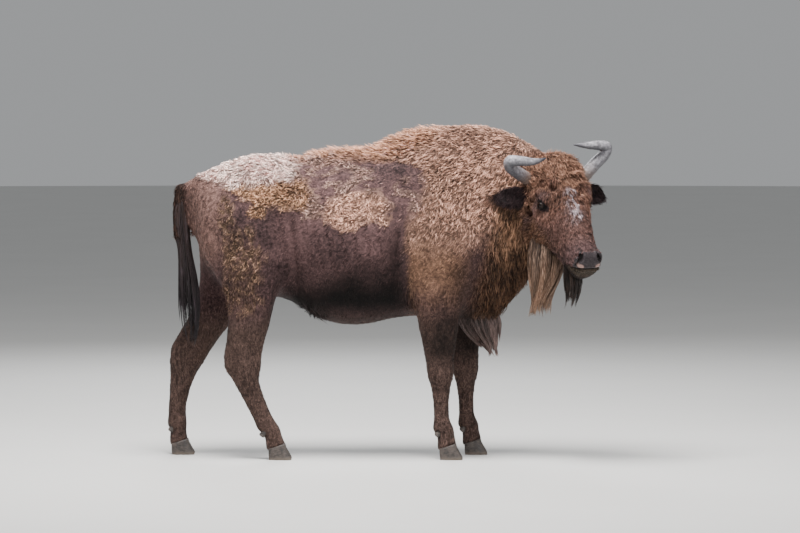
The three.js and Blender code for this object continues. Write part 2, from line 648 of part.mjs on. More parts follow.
// Legs. Each foot has an inner and an outer claw and dewclaw.
const HORNY = { inner: -1, outer: 1 };
const legRooms = [];
for (const [name, { stations, side, cuts, names }] of Object.entries(LEGS)) {
  legRooms.push(limb(stations, { grow: CLEARANCE }));
  const foot = stations.at(-1);
  const fetlock = stations.at(-3);
  const coronet = new THREE.Vector3(foot.x, foot.y, CORONET_HEIGHT);
  const spurs = Object.values(HORNY).map((outward) => dewclaw(fetlock, outward, side, CLEARANCE));
  let [, rest] = parted(without(limb(stations), spurs), coronet, CORONET_SLANT);
  const pieces = [...names, "cannon"].map((part, i) => {
    const [below, above] = parted(rest, new THREE.Vector3(0, 0, cuts[i]), UP);
    rest = below;
    return [part, above];
  });
  pieces.push(["pastern", rest]);
  pieces.forEach(([part, solid]) => place(`${part}_${name}`, solid, DARK_COAT));
  for (const [which, outward] of Object.entries(HORNY)) {
    const [sole] = parted(claw(foot, outward, side), coronet, CORONET_SLANT);
    place(`claw_${which}_${name}`, sole, HOOF);
    place(`dewclaw_${which}_${name}`, dewclaw(fetlock, outward, side), HOOF);
  }
}

// Tail.
const tailRoom = limb(DOCK, { grow: DOCK_CLEARANCE });
const switchTop = new THREE.Vector3(0, 0, SWITCH_TOP);
const [tailSwitch, dock] = parted(limb(DOCK), switchTop, UP);
place("tail_dock", dock, COAT);
place("tail_switch", tailSwitch, DARK_COAT);

// Trunk.
const RUMP_CUT = { point: new THREE.Vector3(-480, 0, 0), heading: 0 };
const CHEST_CUT = { point: new THREE.Vector3(20, 0, 0), heading: 0 };
const NECK_CUT = { point: new THREE.Vector3(560, -18, 0), heading: -13 };
let body = without(trunk(), [headRoom, ...rooms(horns), ...rooms(ears), tailRoom, ...legRooms]);
for (const [name, { point, heading }, finish] of [
  ["rump", RUMP_CUT, PALE_WOOL],
  ["barrel", CHEST_CUT, COAT],
  ["chest", NECK_CUT, COAT],
]) {
  const [behind, ahead] = parted(body, point, headedTo(heading));
  place(name, behind, finish);
  body = ahead;
}
place("neck", body, COAT);

// Long hair hangs below the flesh it grows from.
const bodyRoom = [trunk(), headRoom, chinRoom, ...legRooms];
for (const [name, { solid, finish }] of Object.entries(dressing)) {
  place(name, without(solid, bodyRoom), finish);
}

// The origin is on the floor, under the middle of the animal's box.
const box = new THREE.Box3().setFromObject(wisent);
const middle = box.getCenter(new THREE.Vector3());
wisent.position.set(-middle.x, -middle.y, -box.min.z);

export default wisent;
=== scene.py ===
# %% [markdown]
# # A wisent, standing
# The European bison is a tall, narrow ox with a humped back, a short broad head, small hooked horns and a
# beard. This one is in moult: pale old wool still lies on its rump and hump, and sleek new hair shows below.
# The script builds it in layers, as a museum would: one skin over the whole body, a coat of hair on that,
# and then the eyes, horns and hooves. All of it is in metres, +Z up, chest towards +X, right side towards -Y.

# %% Load the frame
import math
import bmesh
import bpy
import numpy as np
from mathutils import Matrix, Vector, kdtree


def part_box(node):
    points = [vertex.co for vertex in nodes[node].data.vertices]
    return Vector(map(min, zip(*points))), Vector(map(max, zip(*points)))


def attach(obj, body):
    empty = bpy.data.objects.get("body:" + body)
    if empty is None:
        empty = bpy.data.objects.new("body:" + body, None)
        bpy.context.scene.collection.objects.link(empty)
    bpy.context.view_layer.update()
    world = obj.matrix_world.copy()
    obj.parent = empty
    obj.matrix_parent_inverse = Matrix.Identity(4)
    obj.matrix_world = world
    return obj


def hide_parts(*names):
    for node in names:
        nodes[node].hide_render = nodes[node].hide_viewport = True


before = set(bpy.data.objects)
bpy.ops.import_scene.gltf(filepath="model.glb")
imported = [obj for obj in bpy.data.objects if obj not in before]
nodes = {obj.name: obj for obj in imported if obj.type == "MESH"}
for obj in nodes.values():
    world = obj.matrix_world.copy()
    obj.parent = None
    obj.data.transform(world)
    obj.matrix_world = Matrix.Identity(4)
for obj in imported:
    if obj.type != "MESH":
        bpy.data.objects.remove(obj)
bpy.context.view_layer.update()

# %% [markdown]
# ## Camera, floor and light
# A long lens far away keeps the legs parallel and the hump in proportion, which is how an animal this size
# is shown. The light is soft and high, so that the back is bright and the belly falls into shade: hair only
# reads as hair when it is lit from above and its roots stay dark. A big disc of floor catches the shadow.

# %% Helpers for placing things
def array(*values):
    return np.array(values, float)


def unit(v):
    return v / np.maximum(np.linalg.norm(v, axis=-1, keepdims=True), 1e-9)


def aimed(thing, place, target):
    thing.location = Vector(place)
    thing.rotation_euler = (Vector(target) - Vector(place)).to_track_quat("-Z", "Y").to_euler()
    bpy.context.scene.collection.objects.link(thing)
    return thing


print("a step of 3 by 4, made one long:", unit(array(3, 4, 0)))

# %% Camera
MID_Y = 0.1375
CAMERA_AIM = array(0.059, MID_Y, 0.953)
CAMERA_RISE = math.radians(3)
CAMERA_DISTANCE = 22.2
LENS = 200.0
SENSOR_WIDTH = 36.0
FARTHEST_SEEN = 200.0

camera = bpy.data.objects.new("camera", bpy.data.cameras.new("camera"))
camera.data.lens = LENS
camera.data.sensor_width = SENSOR_WIDTH
camera.data.clip_end = FARTHEST_SEEN
camera_back = array(0, -math.cos(CAMERA_RISE), math.sin(CAMERA_RISE)) * CAMERA_DISTANCE
aimed(camera, CAMERA_AIM + camera_back, CAMERA_AIM)
bpy.context.scene.camera = camera
print("camera covers", round(CAMERA_DISTANCE * SENSOR_WIDTH / LENS, 2), "m across")

# %% Lights
LIT_PLACE = (0, MID_Y, 0.9)
SKY_COLOUR = (0.93, 0.95, 0.97, 1)
SKY_STRENGTH = 0.38


def softbox(name, place, size, power, colour=(1, 1, 1)):
    lamp = bpy.data.lights.new(name, "AREA")
    lamp.shape = "DISK"
    lamp.size = size
    lamp.energy = power
    lamp.color = colour
    return aimed(bpy.data.objects.new(name, lamp), place, LIT_PLACE)


softbox("overhead", (-0.5, -1.4, 6.0), 3.2, 1000, (1.0, 0.97, 0.95))
softbox("front_fill", (3.0, -7.5, 3.6), 3.5, 260)
softbox("back_rim", (-1.0, 6.0, 4.5), 3.0, 260, (0.97, 0.98, 1.0))

world = bpy.data.worlds.new("studio")
world.use_nodes = True
world.node_tree.nodes["Background"].inputs["Color"].default_value = SKY_COLOUR
world.node_tree.nodes["Background"].inputs["Strength"].default_value = SKY_STRENGTH
bpy.context.scene.world = world

# %% [markdown]
# ## Small tools for finishes
# Every finish here is a tree of nodes. Building trees by hand in code gets long, so these few helpers add a
# node, set its inputs and link it, and each finish below then reads as a recipe. Colours are written as they
# would be picked on a screen, 0 to 255, and turned into the linear light that the shader works in.

# %% Colours
def tint(r, g, b):
    """A colour as picked on a screen, in the linear light of the shader."""
    def linear(v):
        v = v / 255
        return v / 12.92 if v <= 0.04045 else ((v + 0.055) / 1.055) ** 2.4

    return (linear(r), linear(g), linear(b), 1.0)


print("a middle grey, 128 of 255, is", round(tint(128, 128, 128)[0], 3), "in linear light")


# %% Node trees as recipes
class Recipe:
    """One material's node tree, with short ways to add the nodes that the finishes below need."""

    def __init__(self, name):
        self.material = bpy.data.materials.new(name)
        self.material.use_nodes = True
        self.tree = self.material.node_tree
        self.shader = self.tree.nodes["Principled BSDF"]
        self.place = self.node("ShaderNodeTexCoord").outputs["Object"]

    def node(self, kind, inputs=(), **settings):
        made = self.tree.nodes.new(kind)
        for key, value in settings.items():
            setattr(made, key, value)
        for key, value in dict(inputs).items():
            self.feed(made.inputs[key], value)
        return made

    def feed(self, socket, value):
        if isinstance(value, bpy.types.NodeSocket):
            self.tree.links.new(value, socket)
        else:
            socket.default_value = value

    def set(self, name, value):
        self.feed(self.shader.inputs[name], value)

    def attribute(self, name):
        return self.node("ShaderNodeAttribute", attribute_name=name).outputs["Fac"]

    def noise(self, size, detail=4.0, stretch=None):
        place = self.place
        if stretch is not None:
            place = self.node("ShaderNodeMapping", {"Vector": place, "Scale": stretch}).outputs[0]
        inputs = {"Vector": place, "Scale": 1 / size, "Detail": detail, "Roughness": 0.55}
        return self.node("ShaderNodeTexNoise", inputs).outputs["Fac"]

    def cells(self, size):
        inputs = {"Vector": self.place, "Scale": 1 / size}
        return self.node("ShaderNodeTexVoronoi", inputs).outputs["Distance"]

    def ramp(self, value, low, high, to=(0.0, 1.0)):
        inputs = {"Value": value, "From Min": low, "From Max": high, "To Min": to[0], "To Max": to[1]}
        return self.node("ShaderNodeMapRange", inputs, interpolation_type="SMOOTHSTEP").outputs["Result"]

    def math(self, operation, a, b=0.0):
        return self.node("ShaderNodeMath", {0: a, 1: b}, operation=operation).outputs[0]

    def mix(self, share, a, b, blend="MIX"):
        made = self.node("ShaderNodeMix", data_type="RGBA", blend_type=blend)
        self.feed(made.inputs["Factor"], share)
        self.feed(made.inputs[6], a)
        self.feed(made.inputs[7], b)
        return made.outputs[2]

    def bump(self, height, depth, strength):
        inputs = {"Height": height, "Distance": depth, "Strength": strength}
        return self.node("ShaderNodeBump", inputs).outputs["Normal"]


# %% Floor
FLOOR_RADIUS = 40.0


def studio_floor():
    mesh = bpy.data.meshes.new("floor")
    form = bmesh.new()
    bmesh.ops.create_circle(form, cap_ends=True, radius=FLOOR_RADIUS, segments=96)
    form.to_mesh(mesh)
    form.free()
    floor = bpy.data.objects.new("floor", mesh)
    bpy.context.scene.collection.objects.link(floor)
    recipe = Recipe("floor_paper")
    recipe.set("Base Color", recipe.mix(recipe.noise(0.9), tint(200, 200, 198), tint(207, 207, 205)))
    recipe.set("Roughness", 0.85)
    mesh.materials.append(recipe.material)


studio_floor()
print("floor:", FLOOR_RADIUS * 2, "m across")

# %% [markdown]
# ## Sizes that shape the animal
# The flesh, horns and eyes come from the frame, so this script only needs to know where a few landmarks are.
# The head has its own axes: `down` runs from the poll to the nose, `out` leaves the face, and `left` is the
# animal's left. Their directions are given as angles, and the poll is found from the two eyes, so that the
# head is always where the frame has it.

# %% The head's own axes
UP = array(0, 0, 1)
HEAD_HEADING = math.radians(-66)
HEAD_DROP = math.radians(51.5)
HEAD_ROLL = math.radians(2)
EYE_DOWN = 0.229
EYE_OUT = -0.080
EYE_ASIDE = 0.124


def centre_of(node):
    low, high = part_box(node)
    return np.array((low + high) / 2)


forward = array(math.cos(HEAD_HEADING), math.sin(HEAD_HEADING), 0)
down = forward * math.cos(HEAD_DROP) - UP * math.sin(HEAD_DROP)
level_left = np.cross(UP, forward)
level_out = np.cross(down, level_left)
left = level_left * math.cos(HEAD_ROLL) + np.cross(down, level_left) * math.sin(HEAD_ROLL)
out = level_out * math.cos(HEAD_ROLL) + np.cross(down, level_out) * math.sin(HEAD_ROLL)
HEAD_AXES = np.stack([down, out, left])
eye_mid = (centre_of("eye_right") + centre_of("eye_left")) / 2
POLL = eye_mid - down * EYE_DOWN - out * EYE_OUT
SIDES = {"right": -1, "left": 1}


def in_head(places):
    """Head coordinates (down the face, out of it, to the left) of points of the room."""
    return (places - POLL) @ HEAD_AXES.T


def from_head(places):
    return POLL + np.asarray(places, float) @ HEAD_AXES


eyes_apart = float(np.linalg.norm(centre_of("eye_left") - centre_of("eye_right")))
print("poll", POLL.round(3), "eyes apart", round(eyes_apart, 3))

# %% [markdown]
# ## Noise in numbers
# Hair that is combed by a formula looks combed by a machine. A smooth random field breaks it up: it gives
# each place a value that drifts over a known size, the same on every run. It is worked out in numpy for all
# points at once, by mixing random values that belong to the corners of a grid of cubes.

# %% Value noise
def ease(share):
    return share * share * (3 - 2 * share)


def step(value, low, high):
    """0 below low, 1 above high and a smooth rise between them; low may be the larger one."""
    return ease(np.clip((value - low) / (high - low), 0, 1))


def lattice(cell, seed):
    mixed = (cell[:, 0] * 73856093) ^ (cell[:, 1] * 19349663) ^ (cell[:, 2] * 83492791) ^ (seed * 2654435)
    mixed = (mixed ^ (mixed >> 13)) * 1274126177
    return ((mixed ^ (mixed >> 16)) & 0xFFFF) / 32767.5 - 1


def drift(places, size, seed):
    """A smooth random value from -1 to 1 at each place, changing over about the given size."""
    scaled = places / size
    cell = np.floor(scaled).astype(np.int64)
    part = ease(scaled - cell)
    total = np.zeros(len(places))
    for corner in np.ndindex(2, 2, 2):
        share = np.prod(np.where(np.array(corner) == 1, part, 1 - part), axis=1)
        total += share * lattice(cell + np.array(corner), seed)
    return total


def rough_drift(places, size, seed):
    return drift(places, size, seed) * 0.6 + drift(places, size * 0.45, seed + 1) * 0.4


print("noise from", drift(np.random.default_rng(1).random((500, 3)), 0.1, 3).min().round(2))

# %% [markdown]
# ## One skin
# The frame has the animal in parts with thin cuts between them. A real hide has no such seams, so all the
# flesh is put together and wrapped by a voxel remesh, which turns any pile of closed shapes into one even
# surface. A remesh is as lumpy as what it wraps, so it is then smoothed: long on the broad trunk, shorter on
# the thin legs, and least on the head. Smoothing was chosen over subdivision because it also blends the legs
# into the trunk. It shrinks things, so the smoothed loss is added back: lumps stay gone and size returns.

# %% What is flesh, and what is hair or horn
NOT_FLESH = ("horn", "eye", "claw", "dewclaw", "tail_switch", "chin_beard", "throat_beard", "brisket")
flesh = [name for name in sorted(nodes) if not name.startswith(NOT_FLESH)]
print("flesh:", len(flesh), "of", len(nodes), "nodes")

# %% Wrapping it
VOXEL = 0.0085
HORN_ROOT = array(0.066, -0.104, 0.122)
HORN_PLUG = 0.046


def sides_of(place, side):
    return place * array(1, 1, side)


def wrapped(name, parts, extra=(), voxel=VOXEL):
    """One mesh round all the given frame nodes and extra balls, as arrays of points and four-sided faces."""
    form = bmesh.new()
    for part in parts:
        form.from_mesh(nodes[part].data)
    for centre, radius in extra:
        place = Matrix.Translation(Vector(centre))
        bmesh.ops.create_icosphere(form, subdivisions=3, radius=radius, matrix=place)
    mesh = bpy.data.meshes.new(name + "_pile")
    form.to_mesh(mesh)
    form.free()
    pile = bpy.data.objects.new(name + "_pile", mesh)
    bpy.context.scene.collection.objects.link(pile)
    remesh = pile.modifiers.new("wrap", "REMESH")
    remesh.mode = "VOXEL"
    remesh.voxel_size = voxel
    graph = bpy.context.evaluated_depsgraph_get()
    result = bpy.data.meshes.new_from_object(pile.evaluated_get(graph))
    bpy.data.objects.remove(pile)
    return result


def points_of(mesh):
    points = np.zeros(len(mesh.vertices) * 3, np.float32)
    mesh.vertices.foreach_get("co", points)
    return points.reshape(-1, 3).astype(float)


def edges_of(mesh):
    edges = np.zeros(len(mesh.edges) * 2, np.int32)
    mesh.edges.foreach_get("vertices", edges)
    return edges.reshape(-1, 2)


plugs = [(from_head(sides_of(HORN_ROOT, side)), HORN_PLUG) for side in SIDES.values()]
skin_mesh = wrapped("skin", flesh + ["eye_right", "eye_left"], plugs)
print("skin wrapped:", len(skin_mesh.polygons), "faces")

# %% Smoothing in arrays
def relaxed(points, edges, passes, share=0.5):
    """Moves each point towards the middle of its neighbours, as many times as `passes` says for it."""
    first, second = edges[:, 0], edges[:, 1]
    count = np.bincount(edges.ravel(), minlength=len(points))[:, None]
    for turn in range(int(passes.max())):
        total = np.stack(
            [
                np.bincount(first, points[second, axis], len(points))
                + np.bincount(second, points[first, axis], len(points))
                for axis in range(3)
            ],
            1,
        )
        reach = np.clip(passes - turn, 0, 1)[:, None] * share
        points = points + (total / count - points) * reach
    return points


row_of_five = np.stack([np.arange(4), np.arange(1, 5)], 1)
spike = np.outer([0, 0, 1, 0, 0], UP)
print("a spike 1 high, once relaxed:", relaxed(spike, row_of_five, np.ones(5))[:, 2])

# %% Where the ears are, and where the head ends
EAR_ROOT = array(0.125, -0.145, 0.150)
EAR_TIP = array(0.094, -0.182, 0.310)
EAR_REACH = 0.066


def ear_share(places):
    """1 on the ears: within reach of the line from an ear's root to its tip."""
    along = in_head(places)
    along[:, 2] = np.abs(along[:, 2])
    line = EAR_TIP - EAR_ROOT
    share = np.clip((along - EAR_ROOT) @ line / (line @ line), 0, 1)
    away = np.linalg.norm(along - EAR_ROOT - share[:, None] * line, axis=1)
    return step(away, EAR_REACH, EAR_REACH - 0.012) * step(along[:, 2], 0.148, 0.166)


HEAD_SECTIONS = array(
    (-0.066, -0.120, 0.070), (-0.008, -0.222, 0.138), (0.055, -0.255, 0.156), (0.125, -0.280, 0.152),
    (0.240, -0.304, 0.140), (0.300, -0.300, 0.126), (0.365, -0.276, 0.108), (0.435, -0.246, 0.092),
    (0.505, -0.220, 0.086), (0.640, -0.190, 0.086),
)  # down the face, the throat's edge, and half-width
CHEEK_EDGE = array(
    (-0.07, -0.20), (0.0, -0.20), (0.10, -0.165), (0.24, -0.305), (0.35, -0.34), (0.64, -0.34),
)  # down the face, and the cheek's edge towards the neck


def head_share(places):
    """1 on the head, 0 on the neck and body, with a soft edge behind the cheeks."""
    along = in_head(places)
    throat = np.interp(along[:, 0], HEAD_SECTIONS[:, 0], HEAD_SECTIONS[:, 1])
    half = np.interp(along[:, 0], HEAD_SECTIONS[:, 0], HEAD_SECTIONS[:, 2])
    cheek = np.interp(along[:, 0], CHEEK_EDGE[:, 0], CHEEK_EDGE[:, 1])
    ahead = step(along[:, 1] - cheek, -0.020, 0.015)
    within = step(np.abs(along[:, 2]) - half, 0.016, 0.000) * step(along[:, 1] - throat, -0.035, -0.012)
    return np.maximum(ahead * within * step(along[:, 0], -0.12, -0.07), ear_share(places))


points = points_of(skin_mesh)
on_head, on_ears = head_share(points), ear_share(points)
print("points on the head:", int((on_head > 0.5).sum()), "and on the ears:", int((on_ears > 0.5).sum()))


# %% How far each region is smoothed
def limb_share(places):
    """1 on the free legs and the tail, 0 on the trunk."""
    legs = step(places[:, 2], 0.80, 0.62)
    tail = step(places[:, 0], -0.99, -1.04) * step(places[:, 2], 1.40, 1.34)
    return np.maximum(legs, tail)


TRUNK_PASSES, LIMB_PASSES, HEAD_PASSES, EAR_PASSES = 200, 24, 14, 3
passes = TRUNK_PASSES + (LIMB_PASSES - TRUNK_PASSES) * limb_share(points)
passes = passes + (HEAD_PASSES - passes) * on_head
passes = passes + (EAR_PASSES - passes) * on_ears
smoothed = relaxed(points, edges_of(skin_mesh), passes)
shrunk_by = relaxed(points - smoothed, edges_of(skin_mesh), passes)
points = smoothed + shrunk_by
skin_mesh.vertices.foreach_set("co", points.astype(np.float32).ravel())
print("smoothed; given back", round(float(np.linalg.norm(shrunk_by, axis=1).max()), 3), "m at most")

# %% [markdown]
# ## Coarse where it is plain, fine where the face needs it
# Eyelids, nostrils and lips are a few millimetres across, far less than one face of the wrapped skin, while
# the broad flank needs hardly any faces at all. So the trunk is thinned with a Decimate modifier, which a
# vertex group holds off the head, and then the face is divided once more, and the places round the eyes and
# nose twice. A multiresolution sculpt would do this too, but it would carry its finest level everywhere.

# %% Thinning the trunk
THINNING = 0.40
THINNING_LEVELS = 4


def thinned(mesh, kept, ratio):
    """A copy of the mesh with fewer faces where `kept` is 0, and hardly any fewer where it is 1."""
    whole = bpy.data.objects.new("whole", mesh)
    bpy.context.scene.collection.objects.link(whole)
    group = whole.vertex_groups.new(name="may_go")
    levels = np.round((1 - kept) * THINNING_LEVELS).astype(int)
    for level in range(1, THINNING_LEVELS + 1):
        group.add(np.nonzero(levels == level)[0].tolist(), level / THINNING_LEVELS, "REPLACE")
    decimate = whole.modifiers.new("thin", "DECIMATE")
    decimate.ratio = ratio
    decimate.vertex_group = group.name
    graph = bpy.context.evaluated_depsgraph_get()
    result = bpy.data.meshes.new_from_object(whole.evaluated_get(graph))
    bpy.data.objects.remove(whole)
    return result


skin_mesh = thinned(skin_mesh, head_share(points), THINNING)
print("skin thinned:", len(skin_mesh.polygons), "faces")

# %% Dividing locally
EYES = {name: from_head(array(EYE_DOWN, EYE_OUT, EYE_ASIDE * side)) for name, side in SIDES.items()}
NOSE = from_head([0.600, -0.045, 0.0])
EYE_AREA, NOSE_AREA = 0.042, 0.094


def divided(mesh, wanted):
    """Divides once every edge whose two ends are both wanted."""
    form = bmesh.new()
    form.from_mesh(mesh)
    form.verts.ensure_lookup_table()
    chosen = wanted(points_of(mesh))
    edges = [e for e in form.edges if chosen[e.verts[0].index] and chosen[e.verts[1].index]]
    bmesh.ops.subdivide_edges(form, edges=edges, cuts=1, use_grid_fill=True, smooth=0.0)
    form.to_mesh(mesh)
    form.free()


def on_face(places):
    along = in_head(places)
    bare = (along[:, 0] > 0.10) | (ear_share(places) > 0.3)
    return bare & (head_share(places) > 0.5) & (along[:, 1] > -0.27)


def near_detail(places):
    eyes = [np.linalg.norm(places - eye, axis=1) < EYE_AREA for eye in EYES.values()]
    nose = np.linalg.norm(places - NOSE, axis=1) < NOSE_AREA
    return eyes[0] | eyes[1] | nose


divided(skin_mesh, on_face)
divided(skin_mesh, near_detail)
points = points_of(skin_mesh)
edges = edges_of(skin_mesh)
passes = 4.0 * on_face(points) + 3.0 * near_detail(points)
points = relaxed(points, edges, passes)
triangles = sum(len(face.vertices) - 2 for face in skin_mesh.polygons)
print("skin divided:", len(points), "points,", triangles, "triangles")

# %% [markdown]
# ## The markings
# The same few masks say what grows where, and every later step reads them: the skin's inset, the hair's
# length and curl, and the colours of skin and hair alike. A mask is a number from 0 to 1 at each place. They
# come from soft ellipses on the flank with ragged edges, because moulting wool lets go in patches, and from
# plain heights and distances. Painting them by hand would look as good, but could not be read or changed.

# %% Patches of old wool, as middle x and z, reach along and up, and tilt in degrees
PALE_MATS = ((-0.74, 1.475, 0.27, 0.105, -4), (-0.52, 1.44, 0.07, 0.06, 0))
OCHRE_WOOL = (
    (-0.60, 1.338, 0.17, 0.075, -8),
    (-0.435, 1.315, 0.055, 0.075, 0),
    (-0.645, 1.235, 0.04, 0.03, 0),
)
RIB_WOOL = (
    (-0.156, 1.252, 0.155, 0.080, 8),
    (-0.205, 1.180, 0.070, 0.035, -12),
    (-0.021, 1.198, 0.03, 0.025, 0),
)
THIGH_WOOL = (
    (-0.795, 1.19, 0.034, 0.10, 8),
    (-0.76, 1.06, 0.046, 0.12, 10),
    (-0.705, 0.95, 0.085, 0.10, 10),
    (-0.725, 0.82, 0.080, 0.10, 0),
    (-0.676, 1.123, 0.024, 0.040, 0),
    (-0.66, 1.01, 0.060, 0.045, -20),
)
RAGGED_LINES = (
    (-0.360, 1.480, 0.130, 0.013, 0),
    (-0.176, 1.450, 0.064, 0.013, -30),
    (-0.208, 1.343, 0.115, 0.014, 41),
    (-0.438, 1.398, 0.055, 0.012, -66),
    (-0.391, 1.258, 0.034, 0.045, 0),
    (0.125, 1.322, 0.045, 0.013, -12),
    (0.148, 1.263, 0.020, 0.035, 0),
    (0.045, 1.343, 0.014, 0.022, 0),
)
SLEEK_SPOTS = ((0.05, 1.40, 0.12, 0.085, 15), (0.06, 1.26, 0.09, 0.10, 0), (-0.68, 1.19, 0.07, 0.055, 10))
HUMP_EDGE = array(
    (0.10, 1.00), (0.10, 1.10), (0.14, 1.22), (0.20, 1.35), (0.17, 1.45), (0.02, 1.50), (-0.12, 1.55),
)  # the rear edge of the hump's wool, and the height it is at
patches = len(PALE_MATS + OCHRE_WOOL + RIB_WOOL + THIGH_WOOL)
print(patches, "patches of wool,", len(RAGGED_LINES), "ragged lines")

# %% Where the mouth is, and how a patch is worked out
MOUTH_POINT = array(0.631, -0.062)
MOUTH_SLOPE = array(-0.6, 0.8)


def above_mouth(along):
    """How far above the line of the closed mouth each place of the head is."""
    return (along[:, :2] - MOUTH_POINT) @ MOUTH_SLOPE


def from_middle(places, ellipses, ragged=0.35, grain=0.045, seed=11):
    """0 at the middle of the nearest ellipse on the flank and 1 at its edge, which noise makes ragged."""
    torn = rough_drift(places, grain, seed) * ragged
    least = np.full(len(places), 9.0)
    for x, z, reach, rise, tilt in ellipses:
        turn = math.radians(tilt)
        along, above = places[:, 0] - x, places[:, 2] - z
        level = along * math.cos(turn) + above * math.sin(turn)
        upright = above * math.cos(turn) - along * math.sin(turn)
        least = np.minimum(least, np.hypot(level / reach, upright / rise))
    return least + torn


def patch(places, ellipses, ragged=0.35, grain=0.045, edge=0.18, seed=11):
    return step(from_middle(places, ellipses, ragged, grain, seed), 1 + edge, 1 - edge)


def rolled_edge(places, ellipses, ragged, seed=11):
    """The frayed rim where matted wool lifts off the new coat."""
    return np.exp(-(((from_middle(places, ellipses, ragged, 0.045, seed) - 0.98) / 0.11) ** 2))


def threads(places, spread, seed, thin=0.10, wide=0.26):
    """Winding lines: where smooth noise passes through nought."""
    return step(np.abs(drift(places, spread, seed)), wide, thin)


print("the mouth is", above_mouth(in_head(NOSE[None])).round(3), "m below the nose")

# %% The eye's opening, and the dark rims round it
OPENING = {"long": 0.0250, "upper": 0.0150, "lower": 0.0120}
EYE_AIM = unit(array(0.30, 0.52, 0.80))
EYE_TILT = math.radians(17)


def eye_axes(side):
    """Where the eye looks, and the line of its opening from outer to inner corner, in the room's axes."""
    aim = (EYE_AIM * array(1, 1, side)) @ HEAD_AXES
    corner = forward * math.cos(EYE_TILT) - UP * math.sin(EYE_TILT)
    corner = unit(corner - aim * (corner @ aim))
    return aim, corner, np.cross(aim, corner) * -side


def almond_of(places, side):
    """How far out of the eye's opening each place is: 1 at the lids' edges. Also how high it is, how far from
    the eye's centre, and how far ahead of it."""
    off = places - EYES["left" if side > 0 else "right"]
    aim, corner, upright = eye_axes(side)
    x, y = off @ corner, off @ upright
    x = np.where(x < -OPENING["long"] * 0.8, (x - OPENING["long"] * 0.2) / 1.25, x)
    lid_height = np.where(y > 0, OPENING["upper"], OPENING["lower"])
    almond = (np.abs(x / OPENING["long"]) ** 1.7 + np.abs(y / lid_height) ** 1.7) ** (1 / 1.7)
    return almond, y, np.linalg.norm(off, axis=1), off @ aim


def eye_rims(places, outer=1.80, inner=1.35):
    rims = np.zeros(len(places))
    for side in SIDES.values():
        almond, _, far, ahead = almond_of(places, side)
        rim = step(almond, outer, inner) * step(far, 0.070, 0.050) * step(ahead, -0.004, 0.006)
        rims = np.maximum(rims, rim)
    return rims


print("dark rims on", int((eye_rims(points) > 0.5).sum()), "points")

